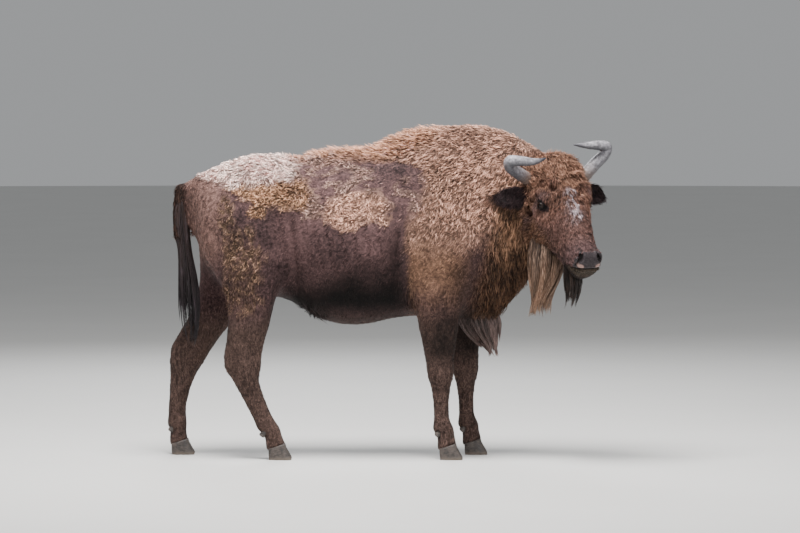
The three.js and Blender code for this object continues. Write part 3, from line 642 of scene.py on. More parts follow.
# %% All the masks together
def markings(places):
    """Every mask at the given places: what grows there, how pale, golden, red or dark it is, and where shade or
    a highlight is painted into the colour.
    """
    x, z = places[:, 0], places[:, 2]
    aside = np.abs(places[:, 1] - MID_Y)
    along = in_head(places)
    head = head_share(places)
    ear = ear_share(places) * head
    limb = limb_share(places)
    tail = step(x, -0.985, -1.03) * step(z, 1.42, 1.36) * step(aside, 0.10, 0.07)
    body = (1 - head) * (1 - limb)
    broken = rough_drift(places, 0.10, 21)

    rear_edge = np.interp(z, HUMP_EDGE[:, 1], HUMP_EDGE[:, 0]) + 0.03 * rough_drift(places, 0.04, 22)
    hump = step(x, rear_edge - 0.02, rear_edge + 0.02) * step(z + 0.06 * broken, 0.98, 1.24) * body
    shoulder = step(x + 0.01 * broken, 0.085, 0.120) * step(x, 0.46, 0.30)
    shoulder = shoulder * step(z + 0.06 * broken, 0.62, 0.96) * step(z, 1.30, 1.10) * (1 - head)
    crest = np.interp(x, [-0.5, 0.0, 0.12, 0.30], [1.485, 1.485, 1.545, 1.62])
    ridge = step(z + 0.03 * broken - crest, -0.03, 0.03) * step(x, 0.34, 0.16) * step(x, -0.56, -0.47) * body
    neck = step(x + 0.25 * (1.2 - z), 0.48, 0.60) * body
    neck = np.maximum(neck, step(x, 0.66, 0.74) * (1 - head))
    mane = neck * step(z, 1.42, 1.30)
    golden = neck * step(x, 0.50, 0.60) * step(z, 0.98, 1.12) * step(z, 1.44, 1.34)
    mats = patch(places, PALE_MATS, 0.25) * body
    ochre = patch(places, OCHRE_WOOL, 0.4) * body
    ribs = patch(places, RIB_WOOL, 0.3) * body
    lace = patch(places, THIGH_WOOL, 0.7, 0.05, 0.35) * (1 - head)
    thigh = lace * (0.12 + 0.88 * threads(places, 0.026, 67, 0.12, 0.32))
    lines = patch(places, RAGGED_LINES, 0.9, 0.022, 0.35) * step(drift(places, 0.03, 37), -0.5, -0.1) * body
    rims = np.maximum(rolled_edge(places, RIB_WOOL, 0.3), 0.8 * rolled_edge(places, OCHRE_WOOL, 0.4))
    rims = rims * step(drift(places, 0.035, 38), -0.35, 0.1) * body * (1 - mats)
    sleek = patch(places, SLEEK_SPOTS, 0.5, 0.06)
    upper = step(z + 0.05 * broken, 1.16, 1.24) * step(x, -0.52, -0.44) * step(x, 0.24, 0.16) * body
    loose = threads(places, 0.034, 33, 0.06, 0.20) * step(drift(places, 0.09, 34), 0.15, 0.45) * upper * 0.8
    flecks = upper * (1 - ribs) * (0.35 + 0.65 * step(drift(places, 0.06, 39), -0.3, 0.4))
    lines = np.clip(np.maximum.reduce([lines, rims, loose]), 0, 1)
    flank_wool = np.maximum.reduce([mats, ochre, ribs, thigh, lines])
    hump = hump * (1 - 0.85 * sleek)
    lump = step(0.7 * drift(places, 0.020, 65) + 0.9 * drift(places, 0.008, 66), -0.75, 0.75)
    wool = np.maximum.reduce([flank_wool, hump, ridge, neck * (1 - 0.3 * mane)]) * (1 - limb * 0.7)

    torn = 0.06 * drift(places, 0.035, 35)
    crown = step(along[:, 0] + torn, 0.20, 0.12) * head * (1 - ear)
    middle = step(np.abs(along[:, 2]) + torn, 0.10, 0.05)
    crown = np.maximum(crown, head * step(along[:, 0] + torn, 0.23, 0.16) * middle)
    forelock = head * step(along[:, 0], 0.36, 0.24) * (1 - crown) * step(along[:, 1], -0.16, -0.06)
    # A pale streak down the top of the nose: grey hairs, and a painted highlight along the bridge.
    grizzle_and_highlight = np.exp(-((along[:, 2] / 0.030) ** 2))
    grizzle_and_highlight = grizzle_and_highlight * step(along[:, 0], 0.16, 0.22) * step(along[:, 0], 0.42, 0.34)
    grizzle_and_highlight = grizzle_and_highlight * head * step(drift(places * array(1, 1, 0.5), 0.011, 36), -0.1, 0.5)
    brow = np.exp(-(((along[:, 0] - 0.19) / 0.03) ** 2) - ((np.abs(along[:, 2]) - 0.128) / 0.035) ** 2) * head
    nose_line = along[:, 0] + 0.35 * along[:, 1] + 0.010 * drift(places, 0.012, 68)
    over_lip = step(above_mouth(along), -0.003, 0.003)
    bare = step(nose_line, 0.572, 0.584) * step(along[:, 1], -0.115, -0.095) * head * over_lip
    lip = head * step(along[:, 0], 0.560, 0.585) * (1 - over_lip) * step(along[:, 1], -0.128, -0.104)
    cheek = head * step(along[:, 1], -0.12, -0.22) * step(along[:, 0], 0.44, 0.34) * (1 - ear)
    snout = head * step(along[:, 0], 0.44, 0.54)
    chin = head * step(along[:, 0], 0.53, 0.56) * step(along[:, 1], -0.10, -0.13)
    throat = head * step(along[:, 1] + 0.10 * along[:, 0], -0.17, -0.22)

    # Painted shade: the belly, the flank behind the elbow, the lower neck, the front of the chest and the tops
    # of the forelegs are darkened where shade falls on them.
    sunk = z + 0.05 * broken - 0.06 * step(x, -0.45, -0.10)
    painted_shade_below = step(sunk, 1.04, 0.74) * step(x, -0.66, -0.45) * body
    fore = step(x, 0.21, 0.37) * step(z + 0.08 * broken, 1.14, 0.86) * step(z, 0.42, 0.56) * 0.50 * (1 - head)
    buttock = step(x, -0.78, -0.87) * step(z, 0.90, 1.06) * step(z, 1.50, 1.42) * (1 - tail)
    elbow_side = np.exp(-(((x - 0.035 + 0.02 * broken) / 0.055) ** 2)) * step(z, 1.26, 1.02) * body * 0.7
    low_neck = neck * step(z, 1.18, 0.98) * 0.58
    front = step(x, 0.10, 0.26) * step(z + 0.06 * broken, 0.84, 0.62) * step(z, 0.42, 0.56) * 0.7
    painted_shade = np.clip(np.maximum.reduce([painted_shade_below * step(x, 0.2, 0.02), elbow_side, low_neck, front, fore]), 0, 1)
    lid = eye_rims(places) * head
    # A wider, softer ring round each eye: dark hair, and painted shade in the eye socket.
    eye_ring = eye_rims(places, 3.1, 2.0) * head
    return {
        "head": head, "ear": ear, "limb": limb, "tail": tail, "body": body, "neck": neck, "mane": mane,
        "hump": hump, "ridge": ridge, "wool": wool, "flank_wool": flank_wool, "mats": mats, "ochre": ochre,
        "ribs": ribs, "thigh": thigh, "lace": lace, "lines": lines, "crown": crown, "bare": bare,
        "chin": chin, "throat": throat, "painted_shade": painted_shade, "grizzle_and_highlight": grizzle_and_highlight, "brow": brow, "lip": lip,
        "lid": lid, "eye_ring": eye_ring, "cheek": cheek, "snout": snout, "shoulder": shoulder,
        "golden": golden, "flecks": flecks, "lump": lump, "forelock": forelock, "buttock": buttock,
    }


marks = markings(points)
print("masks:", {name: round(float(mask.mean()), 3) for name, mask in marks.items()})

# %% [markdown]
# ## Setting the skin in by the coat's depth
# The frame is as large as the animal is out to the tips of its hair. The skin lies deeper: a few millimetres
# on the face and legs, nearly a centimetre on the flank, and two or three under the wool and the crown, so
# that the hair which is laid on it ends where the frame does. Moving each point back along its normal does
# it. The moves themselves are smoothed first, as raw ones would fold the skin over in the creases.

# %% Normals of an array of points
def normals_of(mesh, places):
    mesh.vertices.foreach_set("co", places.astype(np.float32).ravel())
    mesh.update()
    normals = np.zeros(len(places) * 3, np.float32)
    mesh.vertex_normals.foreach_get("vector", normals)
    return normals.reshape(-1, 3).astype(float)


normals = normals_of(skin_mesh, points)
print("normals of", len(normals), "points")

# %% Inset
DEPTH = {"flank": 0.008, "wool": 0.020, "limb": 0.002, "face": 0.003, "crown": 0.030, "tail": 0.006}
INSET_PASSES = 6.0
SOLE_TOP = 0.06


def coat_depth(marks):
    depth = DEPTH["flank"] + (DEPTH["wool"] - DEPTH["flank"]) * marks["wool"]
    depth = depth + (DEPTH["limb"] - depth) * marks["limb"]
    depth = depth + (DEPTH["tail"] - depth) * marks["tail"]
    face = DEPTH["face"] + (DEPTH["crown"] - DEPTH["face"]) * marks["crown"]
    depth = depth + (face - depth) * marks["head"]
    return depth * (1 - marks["bare"]) * (1 - 0.6 * marks["ear"])


inset = relaxed(normals * coat_depth(marks)[:, None], edges, np.full(len(points), INSET_PASSES))
sole_side = step(points[:, 2], SOLE_TOP + 0.05, SOLE_TOP)[:, None] * (normals[:, 2:] < -0.5)
points = points - inset * (1 - sole_side)
print("inset from", coat_depth(marks).min().round(4), "to", coat_depth(marks).max().round(4))

# %% [markdown]
# ## Muscle and bone under the hide
# A smooth loft looks like a balloon until the skeleton shows: the point of the hip, the shoulder blade's
# edge, the elbow's crease, the fold of skin that runs from flank to stifle, the ribs, the knobs of the knee
# and hock. Each is a soft bump or groove, pushed along the normal on both sides. They are wide and shallow,
# so a formula per form is enough, and no sculpting brush is needed.

# %% Forms of the body: x, z, reach along, reach up, tilt in degrees, height in metres
FORMS = (
    (-0.52, 1.40, 0.10, 0.05, -15, 0.012),
    (-0.97, 1.30, 0.05, 0.06, 0, 0.010),
    (-0.46, 0.98, 0.018, 0.22, 6, -0.016),
    (-0.55, 1.06, 0.07, 0.20, 8, 0.010),
    (-0.42, 0.76, 0.09, 0.035, 30, 0.016),
    (0.045, 1.00, 0.022, 0.20, -4, -0.018),
    (0.13, 1.06, 0.06, 0.20, 0, 0.012),
    (0.27, 1.35, 0.030, 0.20, -28, 0.008),
    (0.37, 1.02, 0.07, 0.10, 20, 0.014),
    (0.20, 0.80, 0.07, 0.06, 0, 0.012),
    (0.50, 0.97, 0.024, 0.22, 10, -0.014),
    (-0.30, 1.44, 0.22, 0.05, 4, -0.008),
    (-0.25, 1.05, 0.28, 0.14, 0, 0.008),
)
RIBS = {"first": -0.02, "spacing": 0.062, "count": 6, "top": 1.28, "bottom": 0.85, "height": 0.0028}
HOCK_HEIGHT, KNEE_HEIGHT, FETLOCK_HEIGHT = 0.47, 0.415, 0.155


def body_forms(places):
    x, z = places[:, 0], places[:, 2]
    height = np.zeros(len(places))
    for form_x, form_z, reach, rise, tilt, size in FORMS:
        turn = math.radians(tilt)
        level = (x - form_x) * math.cos(turn) + (z - form_z) * math.sin(turn)
        upright = (z - form_z) * math.cos(turn) - (x - form_x) * math.sin(turn)
        height += size * np.exp(-((level / reach) ** 2) - (upright / rise) ** 2)
    slanted = x - RIBS["first"] + 0.18 * (z - 1.1)
    ribbed = np.cos(2 * math.pi * slanted / RIBS["spacing"])
    caged = step(slanted, 0.03, -0.02) * step(slanted, -RIBS["spacing"] * RIBS["count"], -0.26)
    height += RIBS["height"] * ribbed * caged * step(z, RIBS["bottom"], 0.97) * step(z, RIBS["top"], 1.15)
    return height


def leg_forms(places):
    """The bony knobs of knee, hock and fetlock, told apart by height."""
    z = places[:, 2]
    behind = places[:, 0] < -0.3
    knee = 0.005 * np.exp(-(((z - np.where(behind, HOCK_HEIGHT, KNEE_HEIGHT)) / 0.045) ** 2))
    fetlock = 0.004 * np.exp(-(((z - FETLOCK_HEIGHT) / 0.028) ** 2))
    return (knee + fetlock) * limb_share(places)


aside = step(np.abs(points[:, 1] - MID_Y), 0.05, 0.16)
normals = normals_of(skin_mesh, points)
raised = body_forms(points) * aside * marks["body"] + leg_forms(points)
points = points + normals * raised[:, None]
print("forms from", raised.min().round(4), "to", raised.max().round(4))

# %% [markdown]
# ## The face
# A head is judged harder than anything else on an animal. The bones come first: cheekbone, the rim above the
# eye, the flat bridge of the nose with a hollow beside it. Then come the things that move: lids, nostrils and
# lips. They are all written as distances in the head's own coordinates, so that both sides match. The lids
# are not cut as a hole: the skin is laid on a ball just larger than the eye, and inside an almond-shaped line
# it dips below the eyeball, so that the eye shows through a rim with real thickness.

# %% Bones and flesh of the head: down, out, aside, reach in each of these, and height in metres
HEAD_FORMS = (
    (0.245, -0.125, 0.128, 0.075, 0.026, 0.05, 0.006),
    (0.175, -0.045, 0.105, 0.050, 0.030, 0.04, 0.005),
    (0.330, -0.085, 0.100, 0.070, 0.040, 0.04, -0.006),
    (0.400, -0.170, 0.085, 0.080, 0.050, 0.05, -0.004),
    (0.420, -0.030, 0.050, 0.110, 0.030, 0.03, 0.003),
    (0.500, -0.100, 0.075, 0.045, 0.040, 0.04, 0.004),
    (0.270, -0.240, 0.090, 0.070, 0.060, 0.05, 0.006),
    (0.560, -0.075, 0.070, 0.030, 0.030, 0.03, 0.003),
)


def head_forms(along):
    height = np.zeros(len(along))
    for down_at, out_at, aside_at, *reach, size in HEAD_FORMS:
        off = np.stack([along[:, 0] - down_at, along[:, 1] - out_at, np.abs(along[:, 2]) - aside_at], 1)
        height += size * np.exp(-((off / np.array(reach)) ** 2).sum(1))
    return height


marks = markings(points)
normals = normals_of(skin_mesh, points)
along = in_head(points)
modelled = head_forms(along) * marks["head"] * (1 - marks["ear"])
points = points + normals * modelled[:, None]
print("head forms from", modelled.min().round(4), "to", modelled.max().round(4))

# %% Rounder ears
EAR_END, EAR_CUT = 0.272, 0.55  # how far aside the ears stay as they are, and the share that is cut past it
along = in_head(points)
beyond = np.clip(np.abs(along[:, 2]) - EAR_END, 0, None) * marks["ear"]
points = points - left * (np.sign(along[:, 2]) * beyond * EAR_CUT)[:, None]
print("ears shortened by", round(float(beyond.max() * EAR_CUT), 4), "m at their tips")

# %% Eye socket and lids
EYE_RADIUS = float((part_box("eye_right")[1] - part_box("eye_right")[0]).z) / 2
LID_BALL = EYE_RADIUS + 0.0022
LID_FOLD = {"upper": 0.0045, "lower": 0.0022}


def with_lids(places, side):
    """The skin laid on a ball just larger than the eye, with a rim, a fold and fine creases round it."""
    centre = EYES["left" if side > 0 else "right"]
    off = places - centre
    almond, y, far, ahead = almond_of(places, side)
    around = step(far, 0.064, 0.042) * step(ahead, -0.004, 0.006)
    ball = LID_BALL + 0.0016 * np.exp(-(((almond - 1.16) / 0.12) ** 2))
    fold = np.exp(-(((almond - 1.75) / 0.13) ** 2)) * np.where(y > 0, LID_FOLD["upper"], LID_FOLD["lower"])
    creases = 0.0008 * np.cos(almond * 15) * step(almond, 1.7, 2.1) * step(almond, 4.2, 2.8)
    wanted = np.maximum(np.minimum(far, ball + 0.010), ball) - fold + creases
    wanted = np.where(almond < 1, EYE_RADIUS * (0.80 + 0.20 * step(almond, 0.90, 1.0)), wanted)
    wanted = far + (wanted - far) * around
    return centre + off * (wanted / np.maximum(far, 1e-6))[:, None]


for side in SIDES.values():
    points = with_lids(points, side)
lid_rim = eye_rims(points)
print("lids on balls of", round(LID_BALL * 1000, 1), "mm")

# %% Nostrils, mouth and lips
NOSTRIL = {"down": 0.594, "out": -0.016, "aside": 0.049, "long": 0.020, "wide": 0.0108, "depth": 0.021}
NOSTRIL_SLIT = {"down": 0.580, "out": -0.044, "aside": 0.062, "long": 0.016, "wide": 0.0045, "depth": 0.009}
MOUTH_CORNER = 0.515
LIPS = {"groove": 0.0030, "depth": 0.0065, "swell": 0.0022, "sag": 0.012, "cleft": 0.0026}
NOSTRIL_WING = 0.0030


def hollow(along, spec, lean):
    """An oval dent: 1 at its middle and 0 at its rim, leaning by so many metres aside per metre out."""
    rise = along[:, 1] - spec["out"]
    aside = np.abs(along[:, 2]) - spec["aside"] + lean * rise
    off = np.hypot(rise / spec["long"], aside / spec["wide"])
    near = step(np.abs(along[:, 0] - spec["down"]), 0.045, 0.030)
    return step(off, 1.15, 0.55) * near, off, near


along = in_head(points)
head = head_share(points)
normals = normals_of(skin_mesh, points)
into, off, near = hollow(along, NOSTRIL, 0.55)
slit, *_ = hollow(along, NOSTRIL_SLIT, 0.35)
wing = np.exp(-(((off - 1.35) / 0.28) ** 2)) * near
nose_part = step(along[:, 0], 0.545, 0.565) * head
pushed = NOSTRIL_WING * wing * nose_part
lip = above_mouth(along) + LIPS["sag"] * np.clip((0.60 - along[:, 0]) / 0.09, 0, 1) ** 2
mouth = step(along[:, 0], MOUTH_CORNER - 0.01, MOUTH_CORNER + 0.015) * head * (along[:, 1] < -0.03)
pushed -= LIPS["depth"] * np.exp(-((lip / LIPS["groove"]) ** 2)) * mouth
pushed += LIPS["swell"] * np.exp(-(((np.abs(lip) - 0.011) / 0.006) ** 2)) * mouth
lip_cleft = np.exp(-((along[:, 2] / 0.0022) ** 2)) * step(along[:, 0], 0.605, 0.625)
pushed -= LIPS["cleft"] * lip_cleft * step(along[:, 1], -0.075, -0.05) * nose_part
inward = -(down * 0.75 + out * 0.15)
deep = NOSTRIL["depth"] * into + NOSTRIL_SLIT["depth"] * slit * (1 - into)
points = points + normals * pushed[:, None] + inward * (deep * nose_part)[:, None]
# Painted shade: inside the nostrils and along the crease of the closed mouth, the skin is darkened.
nostril_and_mouth_shade = np.maximum(into, slit) * nose_part
nostril_and_mouth_shade = np.maximum(nostril_and_mouth_shade, 0.9 * np.exp(-((lip / 0.0042) ** 2)) * mouth)
print("nose and lips:", int((mouth > 0.5).sum()), "points round the mouth")

# %% Folds of loose skin on the cheek
FOLD_HEIGHT, FOLD_SPACING = 0.0006, 0.021
along = in_head(points)
head = head_share(points)
normals = normals_of(skin_mesh, points)
phase = (along[:, 0] * 0.8 - along[:, 1]) * 2 * math.pi / FOLD_SPACING + 2.5 * drift(points, 0.05, 41)
on_cheek = step(np.hypot(along[:, 0] - 0.27, along[:, 1] + 0.10), 0.11, 0.05) * (np.abs(along[:, 2]) > 0.06)
folds = FOLD_HEIGHT * np.sin(phase) * on_cheek
grain = 0.0010 * rough_drift(points, 0.018, 43) * (1 - nostril_and_mouth_shade) * (1 - lid_rim)
points = points + normals * ((folds + grain) * head)[:, None]
print("folds of", FOLD_HEIGHT * 1000, "mm,", FOLD_SPACING * 1000, "mm apart")

# %% [markdown]
# ## The skin as a piece
# The finished skin becomes one object. It carries the masks as attributes, so that its material can read
# them, and a UV unwrap named OFBake, cut by the angle between faces: each tuft of hair will later take its
# own small place on it. Where hair is thick the skin hardly shows, but it is the ground between tufts, and
# under the wool its colour is darkened as painted shade.

# %% Skin object
SHARED_MASKS = (
    "wool", "mats", "ochre", "ribs", "thigh", "lines", "ridge", "hump", "mane", "crown", "head", "limb",
    "painted_shade", "bare", "ear", "tail", "grizzle_and_highlight", "brow", "lip", "lid", "shoulder", "golden", "flecks", "lump",
    "eye_ring", "cheek", "snout", "forelock", "chin", "buttock",
)


def write_values(mesh, values_by_name):
    """One number per point under each name, which a material reads with an Attribute node."""
    for name, values in values_by_name.items():
        layer = mesh.attributes.new(name, "FLOAT", "POINT")
        layer.data.foreach_set("value", values.astype(np.float32))


def shared(marks):
    """Only the masks that a finish reads."""
    return {name: marks[name] for name in SHARED_MASKS}


def add_piece(name, mesh, replaced=()):
    piece = bpy.data.objects.new(name, mesh)
    bpy.context.scene.collection.objects.link(piece)
    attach(piece, "root")
    if replaced:
        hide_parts(*replaced)
    return piece


def shade_smooth(mesh):
    mesh.polygons.foreach_set("use_smooth", np.ones(len(mesh.polygons), bool))
    mesh.update()


normals = normals_of(skin_mesh, points)
marks = markings(points)
write_values(skin_mesh, {**shared(marks), "nostril": nostril_and_mouth_shade})
shade_smooth(skin_mesh)
skin = add_piece("skin", skin_mesh, flesh)
print("skin:", len(SHARED_MASKS) + 1, "masks, for", len(flesh), "nodes of the frame")

# %% Unwrap
UNWRAP_ANGLE = math.radians(60)


def unwrap(piece):
    piece.data.uv_layers.new(name="OFBake")
    bpy.context.view_layer.objects.active = piece
    piece.select_set(True)
    bpy.ops.object.mode_set(mode="EDIT")
    bpy.ops.mesh.select_all(action="SELECT")
    bpy.ops.uv.smart_project(angle_limit=UNWRAP_ANGLE, island_margin=0.002)
    bpy.ops.object.mode_set(mode="OBJECT")
    piece.select_set(False)
    corners = np.zeros(len(piece.data.loops) * 2, np.float32)
    piece.data.uv_layers["OFBake"].uv.foreach_get("vector", corners)
    return corners.reshape(-1, 2).astype(float)


skin_corners = unwrap(skin)
lowest, highest = skin_corners.min(0).round(2), skin_corners.max(0).round(2)
print("unwrapped", len(skin_corners), "corners over", lowest, "to", highest)

# %% [markdown]
# ## How hair lies
# Hair has a lie: from the nose it runs back over the face, along the back to the tail, down the sides and
# down the legs. The coat is made of tufts, each a thin closed lock with three sides, because the finished
# model has to be solid mesh, and one lock stands for a few hundred hairs. A particle system would be quicker
# to comb, but its hairs are not mesh. The lie is a formula: a direction for each place, turned a little by
# noise, then laid flat on the skin there.

# %% The lie of the coat
def lie(places, normals, marks):
    """A unit direction along the skin at each place."""
    x, z = places[:, 0], places[:, 2]
    along = in_head(places)
    fall = 0.25 + 0.9 * step(z, 1.45, 0.95) + 0.7 * marks["hump"] * step(z, 1.6, 1.3)
    trunk = np.stack([-np.ones_like(x), np.zeros_like(x), -fall], 1)
    rump_fall = step(x, -0.62, -0.95)[:, None]
    trunk = trunk * (1 - rump_fall) + array(-0.35, 0, -1.0) * rump_fall
    neck_way = -forward * 0.45 - UP
    way = trunk * (1 - marks["neck"])[:, None] + neck_way * marks["neck"][:, None]
    outer = step(np.abs(places[:, 1] - MID_Y), 0.03, 0.10)
    leg_share = np.maximum(marks["limb"], step(z, 1.05, 0.80) * outer)
    way = way * (1 - leg_share)[:, None] - UP * leg_share[:, None]
    aside = np.clip(along[:, 2] / 0.10, -1, 1)[:, None]
    back = step(along[:, 1], -0.06, -0.20)[:, None]
    face_way = down * (0.9 - 1.1 * back) - out * (0.25 + 0.75 * back) + left * aside * 0.45
    crown_way = down * 0.8 + out * 0.35 + left * aside * 0.25
    crown = marks["crown"][:, None]
    face_way = face_way * (1 - crown) + crown_way * crown
    ear_way = left * np.sign(along[:, 2])[:, None] * 0.6 + array(0, 0, -0.9) - out * 0.1
    face_way = face_way * (1 - marks["ear"])[:, None] + ear_way * marks["ear"][:, None]
    way = way * (1 - marks["head"])[:, None] + face_way * marks["head"][:, None]
    return laid_flat(swirled(way, places, normals, marks), normals)


def laid_flat(way, normals):
    return unit(way - normals * (way * normals).sum(1, keepdims=True))


def swirled(way, places, normals, marks):
    """Turned about the normal by noise: a little on sleek hair, a lot in old wool."""
    wild = 0.16 + 0.45 * marks["wool"] + 0.4 * marks["crown"] + 1.0 * marks["flank_wool"]
    turn = wild * (0.8 * drift(places, 0.045, 51) + 0.6 * drift(places, 0.016, 52))
    way = laid_flat(way, normals)
    return way * np.cos(turn)[:, None] + np.cross(normals, way) * np.sin(turn)[:, None]


print("hair on the nose points", lie(NOSE[None], out[None], markings(NOSE[None])).round(2))

# %% Where tufts are rooted
BEND_LIMITS = (-14, 22)


class Ground:
    """The skin as triangles, ready to be sown with tufts."""

    def __init__(self, mesh, places, normals, corners):
        mesh.calc_loop_triangles()
        count = len(mesh.loop_triangles)
        vertices, loops = np.zeros(count * 3, np.int32), np.zeros(count * 3, np.int32)
        mesh.loop_triangles.foreach_get("vertices", vertices)
        mesh.loop_triangles.foreach_get("loops", loops)
        self.corners = vertices.reshape(-1, 3)
        self.places = places[self.corners]
        self.normals = normals[self.corners]
        self.maps = corners[loops.reshape(-1, 3)]
        first, second = self.places[:, 1] - self.places[:, 0], self.places[:, 2] - self.places[:, 0]
        self.areas = np.linalg.norm(np.cross(first, second), axis=1) / 2
        self.middles = self.places.mean(1)

    def sown(self, density, chance):
        """Roots at so many per square metre of each triangle: places, normals, map places and triangle."""
        wanted = self.areas * density
        times = np.floor(wanted + chance.random(len(wanted))).astype(int)
        pick = np.repeat(np.arange(len(wanted)), times)
        a, b = chance.random(len(pick)), chance.random(len(pick))
        over = a + b > 1
        a, b = np.where(over, 1 - a, a), np.where(over, 1 - b, b)
        share = np.stack([1 - a - b, a, b], 1)[:, :, None]
        root = (self.places[pick] * share).sum(1)
        normal = unit((self.normals[pick] * share).sum(1))
        spot = (self.maps[pick] * share).sum(1)
        return root, normal, spot, pick

    def nearest_spots(self, places):
        """The map place of the skin nearest to each of the given places."""
        tree = kdtree.KDTree(len(self.middles))
        for index, middle in enumerate(self.middles):
            tree.insert(middle, index)
        tree.balance()
        return np.array([self.maps[tree.find(place)[1]].mean(0) for place in places])

    def curvature(self, pick, way):
        """How fast the skin bends away along the lie, in radians per metre."""
        first = self.places[pick, 1] - self.places[pick, 0]
        second = self.places[pick, 2] - self.places[pick, 0]
        aa, ab, bb = (first**2).sum(1), (first * second).sum(1), (second**2).sum(1)
        wa, wb = (way * first).sum(1), (way * second).sum(1)
        scale = np.maximum(aa * bb - ab**2, 1e-14)
        a, b = (bb * wa - ab * wb) / scale, (aa * wb - ab * wa) / scale
        turned = self.normals[pick, 1] - self.normals[pick, 0]
        other = self.normals[pick, 2] - self.normals[pick, 0]
        return ((turned * a[:, None] + other * b[:, None]) * way).sum(1).clip(*BEND_LIMITS)


ground = Ground(skin_mesh, points, normals, skin_corners)
print("ground:", len(ground.areas), "triangles,", round(float(ground.areas.sum()), 2), "square metres")

# %% One lock, made for thousands of roots at once
PATCH = 0.003
ROOT_DEPTH = 0.0025
CORNER_ANGLES = np.radians([90.0, 210.0, 330.0])


def lock_mesh(name, root, normal, way, spot, bend, sizes, rings, chance):
    """Closed three-sided locks. sizes holds length, thick, lift, curl and clump for each root."""
    count = len(root)
    side = np.cross(normal, way)
    length, thick = sizes["length"], sizes["thick"]
    wave = chance.random(count) * 2 * math.pi
    turns = 0.7 + chance.random(count) * 0.7
    places = np.zeros((count, rings * 3 + 1, 3))
    here = root - normal * ROOT_DEPTH
    pull = sizes["clump"][:, None] * np.stack([drift(root, 0.020, seed) for seed in (61, 62, 63)], 1)
    for ring in range(rings + 1):
        share = ring / rings
        arc = length * share * bend
        up = normal * np.cos(arc)[:, None] + way * np.sin(arc)[:, None]
        on = way * np.cos(arc)[:, None] - normal * np.sin(arc)[:, None]
        swing = np.sin(wave + turns * 2 * math.pi * share) * sizes["curl"]
        hop = np.cos(wave + turns * 2 * math.pi * share) * sizes["curl"] * 0.6
        rise = sizes["lift"] * (1.15 - 0.75 * share)
        heading = unit(on + side * (swing + pull[:, 0] * share)[:, None] + up * (rise + hop)[:, None])
        if ring < rings:
            swell = 0.75 + 0.55 * math.sin(math.pi * min(share * 1.15 + 0.1, 1.0))
            width = thick * swell * (1 - 0.35 * share)
            across = unit(np.cross(up, heading))
            over = np.cross(heading, across)
            for corner, angle in enumerate(CORNER_ANGLES):
                offset = across * math.cos(angle) + over * 0.6 * math.sin(angle)
                places[:, ring * 3 + corner] = here + offset * width[:, None]
        else:
            places[:, -1] = here
        here = here + heading * (length / rings)[:, None]
    return places, lock_faces(count, rings), lock_map(spot, rings)


# %% Faces, map and mesh of many locks
def lock_faces(count, rings):
    faces = [(0, 2, 1)]
    for ring in range(rings - 1):
        for corner in range(3):
            a, b = ring * 3 + corner, ring * 3 + (corner + 1) % 3
            faces += [(a, b, b + 3), (a, b + 3, a + 3)]
    last = (rings - 1) * 3
    faces += [(last + corner, last + (corner + 1) % 3, last + 3) for corner in range(3)]
    starts = np.arange(count)[:, None, None] * (rings * 3 + 1)
    return (np.array(faces)[None] + starts).reshape(-1, 3)


def lock_map(spot, rings):
    """Each lock's patch of the map: root to tip one way, and round the lock the other."""
    around = np.array([[0.0, 0.0], [0.08, 0.5], [0.0, 1.0]])
    pattern = [corner + array(ring / rings, 0) for ring in range(rings) for corner in around]
    pattern = np.array(pattern + [(1.0, 0.5)]) - 0.5
    return spot[:, None] + pattern[None] * PATCH


def mesh_from(name, places, faces, maps):
    mesh = bpy.data.meshes.new(name)
    places, maps = places.reshape(-1, 3), maps.reshape(-1, 2)
    mesh.vertices.add(len(places))
    mesh.vertices.foreach_set("co", places.astype(np.float32).ravel())
    mesh.loops.add(len(faces) * 3)
    mesh.loops.foreach_set("vertex_index", faces.astype(np.int32).ravel())
    mesh.polygons.add(len(faces))
    mesh.polygons.foreach_set("loop_start", np.arange(0, len(faces) * 3, 3, dtype=np.int32))
    mesh.update(calc_edges=True)
    layer = mesh.uv_layers.new(name="OFBake")
    layer.uv.foreach_set("vector", maps[faces.ravel()].astype(np.float32).ravel())
    shade_smooth(mesh)
    return mesh


print("a lock of two rings has", len(lock_faces(1, 2)), "triangles")

# %% [markdown]
# ## Length, thickness and curl
# Old wool stands off in short curly locks, sleek new hair lies like velvet, the mane hangs in strands and
# the face carries a short nap. These sizes again come from the masks. Sleek places get few tufts, since flat
# hair is mostly the skin's own bump, and the woolly ones get most of the budget.

# %% Sizes of the tufts
SLEEK_LENGTH, SLEEK_THICK, SLEEK_LIFT, SLEEK_CURL = 0.028, 0.0017, 0.09, 0.12


def blend_all(base, choices):
    """base, moved towards each choice's value by its mask, one after the other."""
    value = np.zeros_like(choices[0][0]) + base
    for mask, wanted in choices:
        value = value + (wanted - value) * np.clip(mask, 0, 1)
    return value


